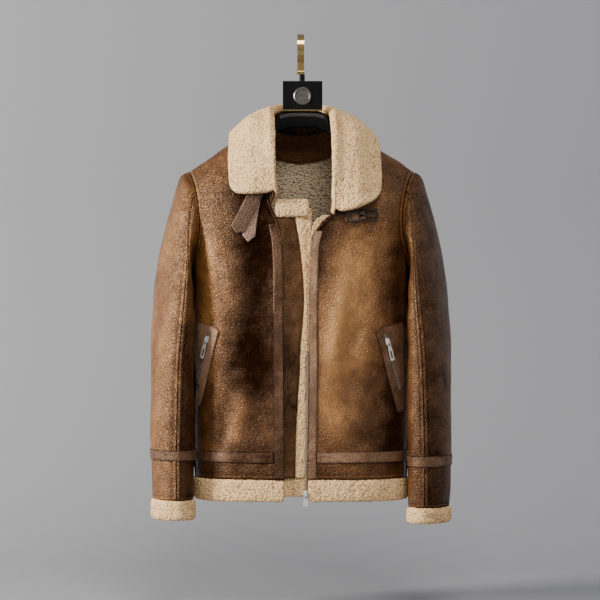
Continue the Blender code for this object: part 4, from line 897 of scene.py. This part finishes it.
class Look:
    """A material and short ways to add its nodes."""

    def __init__(self, name, roughness, metallic=0.0, **values):
        self.made = bpy.data.materials.new(name)
        self.made.use_nodes = True
        self.nodes, self.links = self.made.node_tree.nodes, self.made.node_tree.links
        self.inputs = self.nodes["Principled BSDF"].inputs
        for key, value in {"Roughness": roughness, "Metallic": metallic, **values}.items():
            self.inputs[key.replace("_", " ")].default_value = value

    def give(self, name, source):
        self.links.new(source, self.inputs[name])

    def texture(self, kind, scale, **values):
        made = self.nodes.new("ShaderNodeTex" + kind)
        made.inputs["Scale"].default_value = scale
        for key, value in values.items():
            if key in made.inputs:
                made.inputs[key].default_value = value
            else:
                setattr(made, key, value)
        self.links.new(self.nodes.new("ShaderNodeTexCoord").outputs["Object"], made.inputs["Vector"])
        return made.outputs["Distance" if kind == "Voronoi" else "Fac"]

    def noise(self, scale, detail, roughness=0.5, distortion=0.0):
        return self.texture("Noise", scale, Detail=detail, Roughness=roughness, Distortion=distortion)

    def cells(self, scale, smoothness):
        return self.texture("Voronoi", scale, feature="SMOOTH_F1", Smoothness=smoothness)

    def tone(self):
        made = self.nodes.new("ShaderNodeAttribute")
        made.attribute_name = "tone"
        return made.outputs["Fac"]

    def maths(self, how, *values, limited=False):
        made = self.nodes.new("ShaderNodeMath")
        made.operation, made.use_clamp = how, limited
        for index, value in enumerate(values):
            if isinstance(value, (int, float)):
                made.inputs[index].default_value = value
            else:
                self.links.new(value, made.inputs[index])
        return made.outputs[0]

    def scaled(self, source, amount, base, limited=False):
        return self.maths("MULTIPLY_ADD", source, amount, base, limited=limited)

    def swing(self, source, amount, base, limited=False):
        """The base plus an amount of how far the source is from its middle."""
        return self.scaled(self.maths("SUBTRACT", source, 0.5), amount, base, limited)

    def turned(self, source):
        return self.maths("SUBTRACT", 1.0, source)

    def bump(self, height, distance, strength, normal=None):
        made = self.nodes.new("ShaderNodeBump")
        made.inputs["Distance"].default_value = distance
        made.inputs["Strength"].default_value = strength
        self.links.new(height, made.inputs["Height"])
        if normal is not None:
            self.links.new(normal, made.inputs["Normal"])
        return made.outputs[0]

    def ramp(self, source, *stops):
        made = self.nodes.new("ShaderNodeValToRGB")
        points = made.color_ramp.elements
        while len(points) < len(stops):
            points.new(0.5)
        for point, (at, colour) in zip(points, stops):
            point.position, point.color = at, (*colour, 1)
        self.links.new(source, made.inputs[0])
        self.give("Base Color", made.outputs[0])


def leather_look(name, roughness, grain, mottle, *stops):
    look = Look(name, roughness, Specular_Tint=(1.0, 0.78, 0.58, 1))
    broad, fine, speck = look.noise(26, 6, 0.65), look.noise(210, 4, 0.7), look.noise(620, 2, 0.6)
    mixed = look.swing(fine, mottle * 0.85, look.swing(broad, mottle * 0.62, look.tone()))
    mixed = look.swing(speck, mottle * 0.9, mixed, limited=True)
    look.ramp(mixed, *stops)
    crease = look.bump(look.noise(95, 5, 0.6, 0.6), 0.0020, 0.40 * grain)
    crackle = look.bump(look.turned(look.cells(350, 0.35)), 0.0012, 0.86 * grain, crease)
    look.give("Normal", look.bump(look.cells(560, 0.5), 0.0009, 0.86 * grain, crackle))
    look.give("Roughness", look.scaled(fine, 0.28, roughness - 0.14))
    look.give("Specular IOR Level", look.scaled(mixed, 1.35, -0.18, limited=True))
    return look.made


def fleece_look(name, dark, mid, light):
    look = Look(
        name, 0.95, Sheen_Weight=0.12, Sheen_Roughness=0.6, Sheen_Tint=(1.0, 0.88, 0.70, 1), Specular_IOR_Level=0.1
    )
    curl, fuzz, cloud = look.cells(265, 0.3), look.noise(700, 3, 0.7, 0.3), look.noise(30, 2)
    # Painted shade in the hollows between curls: darker away from each cell's middle and where the curls are low.
    high = look.scaled(curl, -1.35, look.scaled(look.tone(), 0.45, 1.06))
    high = look.swing(fuzz, 0.55, look.swing(cloud, 0.3, high), limited=True)
    look.ramp(high, (0.0, dark), (0.5, mid), (1.0, light))
    look.give("Normal", look.bump(fuzz, 0.0009, 0.8, look.bump(look.turned(curl), 0.0030, 1.0)))
    return look.made


def metal_look(name, colour, roughness, metallic=1.0, marks=300, depth=0.25, specular=0.5):
    look = Look(name, roughness, metallic, Specular_IOR_Level=specular)
    smear = look.noise(marks, 4, 0.6)
    look.ramp(smear, (0.3, tuple(value * 0.72 for value in colour)), (0.7, colour))
    look.give("Roughness", look.scaled(smear, depth, roughness - depth / 2))
    look.give("Normal", look.bump(smear, 0.0001, 0.15))
    return look.made


def thread_look(name, colour):
    look = Look(name, 0.7, Sheen_Weight=0.2)
    twist = look.noise(1500, 2)
    look.ramp(twist, (0.3, tuple(value * 0.6 for value in colour)), (0.7, colour))
    look.give("Normal", look.bump(twist, 0.0002, 0.5))
    return look.made


def make_looks():
    """Every look by its name. Leathers have roughness, grain, mottle, then stops from dark to light, which the
    tone picks, painted light and shade included.
    """
    leathers = {
        "leather": (
            0.34, 1.0, 0.5, (0.0, (0.0078, 0.0028, 0.0013)), (0.25, (0.024, 0.0083, 0.0028)),
            (0.5, (0.078, 0.0285, 0.0066)), (0.72, (0.18, 0.073, 0.0165)), (1.0, (0.40, 0.185, 0.052)),
        ),
        "dark_leather": (
            0.5, 1.0, 0.5, (0.0, (0.012, 0.005, 0.003)), (0.5, (0.055, 0.020, 0.010)), (1.0, (0.13, 0.050, 0.022)),
        ),
        "tape": (
            0.42, 0.8, 0.6, (0.0, (0.014, 0.006, 0.004)), (0.4, (0.055, 0.024, 0.012)),
            (0.75, (0.14, 0.068, 0.036)), (1.0, (0.28, 0.155, 0.092)),
        ),
        "dark_strap": (
            0.55, 1.6, 0.4, (0.0, (0.03, 0.015, 0.01)), (0.6, (0.10, 0.055, 0.035)), (1.0, (0.22, 0.13, 0.09)),
        ),
        "light_strap": (
            0.6, 1.6, 0.9, (0.0, (0.09, 0.050, 0.037)), (0.6, (0.31, 0.19, 0.145)), (1.0, (0.54, 0.37, 0.30)),
        ),
        "tab": (0.34, 0.6, 0.7, (0.0, (0.15, 0.080, 0.050)), (0.5, (0.26, 0.15, 0.10)), (1.0, (0.42, 0.28, 0.20))),
    }
    metals = {
        "black_plastic": ((0.004, 0.004, 0.0045), 0.36, 0.0, 60, 0.12, 0.16),
        "black_metal": ((0.009, 0.008, 0.007), 0.45, 0.0, 300, 0.15, 0.3),
        "silver": ((0.95, 0.94, 0.91), 0.34, 0.55),
        "dark_silver": ((0.20, 0.19, 0.18), 0.34, 0.9),
        "teeth": ((0.30, 0.27, 0.24), 0.4, 0.8),
        "brass": ((0.66, 0.47, 0.18), 0.25),
    }
    made = {}
    for name, values in leathers.items():
        made[name] = leather_look(name, *values)
    made["fleece"] = fleece_look("fleece", (0.46, 0.285, 0.135), (0.84, 0.535, 0.255), (1.0, 0.725, 0.40))
    made["lining"] = fleece_look("lining", (0.20, 0.14, 0.09), (0.48, 0.37, 0.25), (0.66, 0.54, 0.38))
    for name, values in metals.items():
        made[name] = metal_look(name, *values)
    for name, colour in {"zip_cloth": (0.10, 0.055, 0.03), "thread": (0.17, 0.085, 0.045)}.items():
        made[name] = thread_look(name, colour)
    return made


LOOKS = make_looks()


# ---- cloth


def make_panels():
    """Fronts, back and sleeves, from the same grids as the solids."""
    grids = {f"front_{side}": front_grid(side) for side in SIDES}
    grids["front_l"] = grids["front_l"][:, ::-1]
    grids["back"] = back_grid()
    sleeves = {"r": sleeve_grid("r")[:, ::-1], "l": sleeve_grid("l")}
    normals = shared_normals([*grids.values(), *sleeves.values()], [False] * 3 + [True] * 2)
    if normals[0][8, 5][1] > 0:
        normals = [-n for n in normals]
    body = dict(zip(grids, normals))
    for name, grid in grids.items():
        drawn = grids[name] = edge_gap(grid)
        inner = drawn - WALL * thinned(grid) * body[name]
        fuller = side_fullness if name == "back" else None
        piece, _, _ = leather_wall(
            name + "_leather", drawn, inner, body[name], ["leather", "lining"], step=4.2, tone=torso_tone, extra=fuller
        )
        dress(piece, name, drawn)
    first, last = [len(ARMHOLE_ANGLES) + LOW_ROWS.index(row) for row in TAPE_ROWS]
    tape = slice(first, last + 1)
    for side in SIDES:
        grid, turn = grids[f"front_{side}"], body[f"front_{side}"]
        band, rest = (slice(0, 2), slice(1, None)) if side == "r" else (slice(-2, None), slice(None, -1))
        lay_tape(f"front_band_{side}", grid[BAND_FIRST_ROW:, band], turn[BAND_FIRST_ROW:, band])
        piece = grid[tape, rest].copy()
        edge, beside = (0, 1) if side == "r" else (-1, -2)
        piece[:, edge] += SEAM * unit(piece[:, beside] - piece[:, edge])
        lay_tape(f"hem_tape_{side}", piece, turn[tape, rest])
        hem(f"hem_fleece_{side}", grid[-1], HEM_HEIGHT)
    grid, turn = grids["back"], body["back"]
    lay_tape("hem_tape_back", grid[tape], turn[tape])
    hem("hem_fleece_back", grid[-1], HEM_HEIGHT)
    centre = grid.shape[1] // 2
    neck = slice(centre - 4, centre + 5)
    turn = turn[:3, neck]
    base = grid[:3, neck] - turn * (WALL + FACING_LIFT)
    piece, _, _ = leather_wall(
        "neck_facing_leather", base, base - turn * 1.6, turn, ["leather"] * 2, step=4, radius=0.7, waves=0.0,
        tone=flat_tone(0.22, (0.1, 20, 3)),
    )
    dress(piece, "neck_facing", base)
    for side, turn in zip(SIDES, normals[3:]):
        make_sleeve(side, sleeves[side], turn)


def lay_tape(node, grid, turn, thick=TAPE_THICK, closed=False, waves=1.0):
    """A stitched tape that lies on a panel."""
    base = grid + turn * LIFT
    piece, surface, out = leather_wall(
        node + "_strip", base + turn * thick, base, turn, ["tape"] * 2, step=2.5, radius=0.9, tone=tape_tone,
        closed=closed, waves=waves,
    )
    stitches(node + "_stitches", inset(surface, out, int(surface.shape[1] > surface.shape[0]), 2.0))
    dress(piece, node, base, closed=closed)


def make_sleeve(side, grid, normals):
    seam, order = SLEEVE_SEAM_COLUMN, np.arange(grid.shape[1])
    if side == "r":
        grid, normals = grid[:, ::-1], normals[:, ::-1]
    columns = {"top": np.concatenate([order[-seam:], order[: seam + 1]]), "under": order[seam : len(order) - seam + 1]}
    for name, where in columns.items():
        drawn, turn = edge_gap(grid[:, where]), normals[:, where]
        outer, turned = ridged(drawn, turn)
        inner, _ = ridged(drawn - SLEEVE_WALL * thinned(grid[:, where]) * turn, turn * 0)
        node = f"sleeve_{name}_{side}"
        piece, _, _ = leather_wall(
            node + "_leather", outer, inner, turned, ["leather", "lining"], radius=0.7, waves=0.9, step=3.4
        )
        dress(piece, node, outer)
    rows = slice(SLEEVE_TAPE_ROWS[0], SLEEVE_TAPE_ROWS[1] + 1)
    raised, turn = [values.transpose(1, 0, 2) for values in (grid[rows] + normals[rows] * 0.1, normals[rows])]
    lay_tape(f"cuff_tape_{side}", raised, turn, thick=1.0, closed=True, waves=0.9)
    hem(f"cuff_{side}", grid[-1], CUFF_HEIGHT[side], ring=True, out=3.5)


def signed_power(value, power):
    return math.copysign(abs(value) ** power, value)


def hem(node, edge, height, ring=False, out=2.0):
    """A puffed fleece band below a leather edge, with the solid's section."""
    top_points = fleece_edge(edge)
    along = steps_along(top_points, ring)
    along[:, 2] = 0
    outward = unit(np.stack([along[:, 1], -along[:, 0], along[:, 2]], axis=-1))
    facing = np.sum(outward[:, :2] * (top_points[:, :2] - top_points[:, :2].mean(axis=0)), axis=-1)
    if ring:
        outward *= np.where(facing < 0, -1, 1)[:, None]
    else:
        if facing.sum() < 0:
            outward *= -1
        for end in (0, -1):
            axis = np.abs(outward[end]).argmax()
            outward[end] = np.sign(outward[end, axis]) * np.eye(3)[axis]
    thick = FLEECE_THICK - 1.2
    section = []
    for turn in np.radians(np.arange(20) * 18 + 9):
        drop = (0.5 - signed_power(math.sin(turn), 0.45) / 2) * (height - 1)
        section.append((signed_power(math.cos(turn), 0.75) * thick / 2, drop))
    top = min(drop for _, drop in section)
    loops = [
        [point - way * (FLEECE_THICK / 2 - out) + way * side + (0, 0, drop - top + 0.5) for side, drop in section]
        for point, way in zip(top_points, outward)
    ]
    piece, surface = fleece_tube(node + "_fleece", loops, ring)
    dress(piece, node, surface, closed=ring)


def make_collar():
    outer, inner = collar_grid()
    piece = fleece_wall(
        "collar_fleece", outer, inner, step=2.0, height=1.7, lining="dark_leather", corner=20.0,
        plain=lambda row, column: (np.abs(row - 0.5) < 0.24) & (column < 0.24),
    )
    dress(piece, "collar", outer)


PLACKET_THICK = 3.0
PILE_THICK = 7.0
PILE_CROWN = 1.0  # the fleece strip stands out by this beside its leather
ROLL_JOIN = 17.0  # the fleece strip's pile runs this far up behind the rolled top
BAR_THICK = {"placket_roll": 11.0, "placket_hem": 9.0}


def make_underlap():
    downs = np.array(PLACKET_ROWS, float)
    strip = smooth(STRIP_EDGE["down"], STRIP_EDGE["x"], downs)[:, None]
    shares = np.linspace(0, 1, 4)[None]

    def between(left, right):
        x = left + (right - left) * shares
        rows = np.broadcast_to(downs[:, None], x.shape)
        return np.stack([x, underlap_y(x, rows), rows], axis=-1)

    outer = between(PLACKET_LEFT, strip - SEAM / 2)
    piece, _, _ = leather_wall(
        "placket_leather", outer, outer + (0, PLACKET_THICK, 0), facing_front(outer), ["leather"] * 2, waves=0.3,
        tone=flat_tone(0.42, (0.14, 40, 31), (0.1, 12, 32)),
    )
    dress(piece, "placket", outer)
    outer = between(strip + SEAM / 2, STRIP_RIGHT + SEAM / 2)
    outer[:, 1, 1] -= PILE_CROWN
    outer[0, :, 2] -= ROLL_JOIN
    piece = fleece_wall("placket_fleece_pile", outer, outer + (0, PILE_THICK, 0), step=2.0, height=1.6)
    dress(piece, "placket_fleece", outer)
    roll = [(x, ROLL["y"] + abs(x - 14.0) * 0.02, ROLL["down"]) for x in np.linspace(*ROLL["x"], 8)]
    bar("placket_roll", roll, ROLL["height"])
    line = [(x, PLACKET_HEM["y"], PLACKET_HEM["down"]) for x in np.linspace(*PLACKET_HEM["x"], 6)]
    bar("placket_hem", line, PLACKET_HEM["height"])


def bar(node, line, height):
    """A short straight fleece roll."""
    thick, section = BAR_THICK[node], []
    for turn in np.radians(np.arange(16) * 22.5 + 11.25):
        side = signed_power(math.cos(turn), 0.7) * (thick - 1) / 2
        section.append((side, (1 - signed_power(math.sin(turn), 0.5) * 0.97) * height / 2))
    loops = [[(x, y + thick / 2 - side, down + drop) for side, drop in section] for x, y, down in line]
    piece, surface = fleece_tube(node + "_pile", loops, step=1.8)
    dress(piece, node, surface)


# ---- pieces on the fronts


def facing_front(grid):
    return np.broadcast_to(np.array([0.0, -1.0, 0.0]), grid.shape)


def cad_tree(node):
    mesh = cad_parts[node].data
    return BVHTree.FromPolygons([v.co.copy() for v in mesh.vertices], [list(p.vertices) for p in mesh.polygons])


def surface_y(tree, x, down, inside=False):
    """Where a ray along y meets a front, from outside or from inside the jacket."""
    start, way = (0, -1) if inside else (-1, 1)
    hit = tree.ray_cast(Vector((x * MM, start, -down * MM)), Vector((0, way, 0)))[0]
    return float(shell_y(x, down, -1)) + (WALL if inside else 0) if hit is None else hit.y / MM


def flat_strip(node, centre_line, width, lift, thick, look, tree, tip):
    """A strap that hangs over a front along a line, with a pointed end."""
    along = unit(np.gradient(centre_line, axis=0))
    across = np.stack([along[:, 1], -along[:, 0]], axis=-1)
    under = []
    for index, (point, side) in enumerate(zip(centre_line, across)):
        row = []
        for share in np.linspace(-0.5, 0.5, 5):
            spot = point + side * share * width
            if index == len(centre_line) - 1:
                spot += along[index] * tip * (0.5 - abs(share)) * 2
            row.append((spot[0], surface_y(tree, *spot), spot[1]))
        under.append(row)
    under = np.array(under)
    under[..., 1] -= lift
    over = under - (0, thick, 0)
    piece, surface, _ = leather_wall(
        node + "_leather", over, under, facing_front(over), [look] * 2, step=1.6, waves=0.0, puff=0.5,
        tone=flat_tone(0.48, (0.12, 14, 41), edge=0.5),
    )
    stitches(node + "_stitches", inset(surface, facing_front(surface), 0, 2.2), spacing=3.0, length=2.0)
    dress(piece, node, over)


FACING_THICK = 2.2
FRONT_ZIP_THICK = 1.8


def make_details():
    trees = {side: cad_tree(f"front_{side}") for side in SIDES}
    for side in SIDES:
        make_pocket(side, trees[side])
    line = smooth((0, 1, 2, 3), ((-83, 304), (-93, 324), (-106, 349), (-119, 374)), np.linspace(0, 3, 9))
    flat_strip("strap_dark", line, 27, 3.6, 2.0, "dark_strap", trees["r"], tip=8.0)
    line = smooth((0, 1, 2), ((-85, 306), (-93, 346), (-98, 387)), np.linspace(0, 2, 8))
    flat_strip("strap_light", line, 24, 0.9, 1.8, "light_strap", trees["r"], tip=11.0)

    def columns_of(*columns):
        return np.stack([np.stack([x, y, downs], -1) for x, y in columns], axis=1)

    rim = FRONT_EDGE["l"]
    downs = np.array([348, 357, 366, 378, 390, 402, 418, 434, 468, 512, 560, 600], float)
    edge = smooth(rim["down"], rim["x"], downs)
    show = np.interp(downs, (348, 378, 434, 600), (9, 6, 3.5, 1.5))
    face = np.array([surface_y(trees["l"], x + 3, down, inside=True) for x, down in zip(edge, downs)]) + LIFT
    outer = columns_of((edge - show, face - 1.5), (edge - 0.6, face), (edge + 6.0, face))
    piece = fleece_wall("facing_l_pile", outer, outer + (0, FACING_THICK, 0), step=1.6, height=0.9)
    dress(piece, "facing_l", outer)
    downs = np.array([602.5, 645, 700, 750, 793, 845, 880], float)
    edge = smooth(rim["down"], rim["x"], downs)
    face = np.array([surface_y(trees["l"], x + 2, min(down, 842)) for x, down in zip(edge, downs)]) + 1.5
    outer = columns_of((edge - ZIP_WIDTH - SEAM, face), (edge - SEAM, face))
    zip_tape("front_zip", outer, outer + (0, FRONT_ZIP_THICK, 0))


def read(at, run, rows):
    """Rows of three values, read at lengths along them."""
    return np.stack([np.interp(at, run, rows[:, k]) for k in range(3)], axis=-1)


def frames_along(line, normal, at, run):
    """Points at lengths along a line, and the ways ahead, out and aside there."""
    ahead, out = unit(read(at + 1, run, line) - read(at - 1, run, line)), unit(read(at, run, normal))
    return zip(read(at, run, line), ahead, out, np.cross(ahead, out))


TOOTH = {"pitch": 1.7, "foot": 1.5, "top": 1.1, "half_long": 0.5, "sunk": -0.2, "rise": 0.5, "aside": 0.35}
BOX_FACES = ((0, 1, 2, 3), (7, 6, 5, 4), (0, 4, 5, 1), (1, 5, 6, 2), (2, 6, 7, 3), (3, 7, 4, 0))


def zip_tape(node, outer, inner):
    """A woven tape with a row of metal teeth along its middle."""
    fine, inside = refine(1.6, (False, False), outer, inner)
    faces, _ = wall_faces(*fine.shape[:2], False)
    points = np.concatenate([fine.reshape(-1, 3), inside.reshape(-1, 3)])
    dress(build(node + "_tape", points, faces, ["zip_cloth"]), node, outer)
    middle = fine.mean(axis=1)
    run = run_along(middle)
    at = np.arange(1.2, run[-1] - 1.0, TOOTH["pitch"])
    points, faces = [], []
    for index, (centre, v, w, u) in enumerate(frames_along(middle, unit(fine[:, 0] - inside[:, 0]), at, run)):
        shift = TOOTH["aside"] if index % 2 else -TOOTH["aside"]
        faces += [[len(points) + k for k in face] for face in BOX_FACES]
        for c, half in ((TOOTH["sunk"], TOOTH["foot"]), (TOOTH["rise"], TOOTH["top"])):
            for a, b in ((-half, -1), (half, -1), (half, 1), (-half, 1)):
                points.append(centre + u * (a + shift) + v * b * TOOTH["half_long"] + w * c)
    teeth = build(node + "_teeth", points, faces, ["teeth"])
    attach(teeth, "jacket")


def on_surface(tree, places, lift, thick):
    """Under and over points of a piece that lies on a front, lifted clear half way to each point's neighbours too."""
    places = np.array(places)

    def points(shift):
        return np.array([[(x, surface_y(tree, x, down), down) for x, down in row] for row in places + shift])

    base = points(np.zeros(2))
    normal = unit(np.cross(np.gradient(base, axis=0), np.gradient(base, axis=1)))
    normal *= -np.sign(normal[..., 1:2])
    step = np.abs([places[0, 1, 0] - places[0, 0, 0], places[1, 0, 1] - places[0, 0, 1]]) * 0.6
    clear = np.zeros(base.shape[:2])
    for way in itertools.product((-1, 0, 1), repeat=2):
        clear = np.maximum(clear, np.sum((points(way * step) - base) * normal, axis=-1))
    base = base + normal * clear[..., None]
    return base + normal * lift, base + normal * (lift + thick), normal


def make_pocket(side, tree):
    sign, data = SIDES[side], POCKET[side]
    top, bottom = np.array(data["top"], float), np.array(data["bottom"], float)
    length = np.linalg.norm(bottom - top)
    along = (bottom - top) / length
    across = np.array([along[1], -along[0]]) * sign
    places = []
    for step in np.linspace(0, 1, POCKET_LENGTH_STEPS + 1):
        edge = top + along * length * step
        width = min(data["width"], (POCKET_FAR - sign * edge[0]) / abs(across[0]))
        zip_half = min(ZIP_WIDTH / 2, 0.28 * width)
        zip_at = min(data["zip"], width - zip_half - POCKET_MARGIN)
        row = []
        for reach in (0, 0.15 * width, zip_at - zip_half, *np.linspace(zip_at + zip_half, width, 4)):
            spot = edge + across * reach
            spot[1] += POCKET_CORNER * max(1 - 2 * reach / width, 0) ** 3 * (1 - step) ** 6
            row.append(spot)
        places.append(row)
    under, over, normal = on_surface(tree, places, WELT_LIFT, WELT_THICK)
    node = f"pocket_welt_{side}"
    piece, surface, turn = leather_wall(
        node + "_leather", over, under, normal, ["tape"] * 2, step=2.2, radius=1.0, waves=0.0, tone=tape_tone
    )
    stitches(node + "_stitches", inset(surface, turn, 0, 2.4)[:1])
    dress(piece, node, over)
    zipped = slice(1, POCKET_LENGTH_STEPS - 2), slice(2, 4)
    low = over[zipped] + normal[zipped] * LIFT
    zip_tape(f"pocket_zip_{side}", low + normal[zipped] * ZIP_THICK, low)


THREAD = {"radius": 0.42, "ring_at": 0.28, "end_sunk": 0.2, "rise": 0.1}


def stitches(name, lines, spacing=3.6, length=2.5):
    """Small raised threads along lines of points with the way out, given as pairs of point and normal rows."""
    points, faces = [], []
    for line, normal in lines:
        run = run_along(line)
        at = np.arange(spacing, run[-1] - spacing / 2, spacing)
        for c, v, w, u in frames_along(line, normal, at, run):
            start = len(points)
            points += [c - v * length / 2 - w * THREAD["end_sunk"], c + v * length / 2 - w * THREAD["end_sunk"]]
            for along in (-THREAD["ring_at"], THREAD["ring_at"]):
                for turn in np.radians((45, 135, 225, 315)):
                    ring = (u * math.cos(turn) + w * math.sin(turn)) * THREAD["radius"]
                    points.append(c + v * along * length + ring + w * THREAD["rise"])
            for k in range(4):
                m = (k + 1) % 4
                a, b, d, e = start + 2 + k, start + 2 + m, start + 6 + k, start + 6 + m
                faces += [(start, b, a), (a, b, e), (a, e, d), (start + 1, d, e)]
    piece = build(name, points, faces, ["thread"])
    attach(piece, "jacket")


def inset(surface, turn, axis, distance):
    """The lines at a distance from both edges of a fine grid, along its rows (axis 0) or its columns (axis 1)."""
    if axis:
        surface, turn = surface.transpose(1, 0, 2), turn.transpose(1, 0, 2)
    across = run_along(surface, 1)
    near = np.array([read(distance, run, row) for row, run in zip(surface, across)])
    far = np.array([read(run[-1] - distance, run, row) for row, run in zip(surface, across)])
    middle = turn[:, turn.shape[1] // 2]
    return [(near, middle), (far, middle)]


# ---- scene

HARDWARE = {
    "tab": "buckle_tab",
    "black_metal": "buckle_keeper buckle_frame buckle_prong",
    "silver": "front_slider front_pull pocket_r_slider pocket_r_pull pocket_l_slider pocket_l_pull",
    "black_plastic": "hanger_body hanger_plate hanger_stem",
    "dark_silver": "hanger_disc",
    "brass": "hanger_trim hook hook_ferrule",
}


def finish_hardware():
    for look, nodes in HARDWARE.items():
        for node in nodes.split():
            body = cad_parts[node]
            if not body.material_slots:
                body.data.materials.append(LOOKS[look])
            for slot in body.material_slots:
                slot.material = LOOKS[look]


def light(name, kind, at, towards, power, colour=(1, 1, 1), **values):
    data = bpy.data.lights.new(name, kind)
    data.energy, data.color = power, colour
    for key, value in values.items():
        setattr(data, key, value)
    made = put(bpy.data.objects.new(name, data))
    made.location = at
    made.rotation_euler = (Vector(towards) - Vector(at)).to_track_quat("-Z", "Y").to_euler()


def make_stage():
    """A plain pale sweep behind the jacket, and soft lights."""
    radius, front, back, floor, top, half_width = 0.9, -3.2, 1.5, -1.10, 2.2, 4.0
    turns = np.radians(np.arange(10, 91, 10))
    bend = [(back - radius + radius * math.sin(turn), floor + radius * (1 - math.cos(turn))) for turn in turns]
    rows = [(front, floor), (back - radius, floor), *bend, (back, top)]
    points = [(x, y, z) for y, z in rows for x in (-half_width, half_width)]
    faces = [[2 * k, 2 * k + 1, 2 * k + 3, 2 * k + 2] for k in range(len(rows) - 1)]
    mesh = bpy.data.meshes.new("backdrop")
    mesh.from_pydata(points, [], faces)
    mesh.polygons.foreach_set("use_smooth", np.ones(len(faces), bool))
    mesh.materials.append(Look("backdrop", 0.9, Base_Color=(0.275, 0.285, 0.315, 1)).made)
    put(bpy.data.objects.new("backdrop", mesh))
    world = bpy.data.worlds.new("studio")
    world.use_nodes = True
    world.node_tree.nodes["Background"].inputs["Color"].default_value = (0.80, 0.79, 0.78, 1)
    world.node_tree.nodes["Background"].inputs["Strength"].default_value = 0.31
    bpy.context.scene.world = world
    chest, panel = (0, 0, -0.45), {"shape": "RECTANGLE"}
    light("key", "AREA", (-3.1, -1.1, 0.4), chest, 235, (1.0, 0.94, 0.86), **panel, size=0.7, size_y=1.4)
    light("front", "AREA", (0.3, -2.6, 2.2), chest, 92, (1.0, 0.96, 0.90), **panel, size=1.6, size_y=1.2)
    light("rim", "AREA", (2.3, 0.5, 0.2), (0.2, 0, -0.45), 7, **panel, size=0.3, size_y=1.4)
    light(
        "accent", "SPOT", (1.1, -3.0, -0.1), (0.07, -0.09, -0.62), 330,
        spot_size=math.radians(6.5), spot_blend=1.0, shadow_soft_size=0.25,
    )


def make_camera():
    camera = bpy.data.cameras.new("camera")
    camera.lens, camera.sensor_width = 120, 36
    made = put(bpy.data.objects.new("camera", camera))
    made.location = (-0.0019, -3.84, -0.5076)
    made.rotation_euler = (math.radians(90), 0, 0)
    bpy.context.scene.camera = made


make_camera()
make_stage()
make_panels()
make_collar()
make_underlap()
make_details()
finish_hardware()
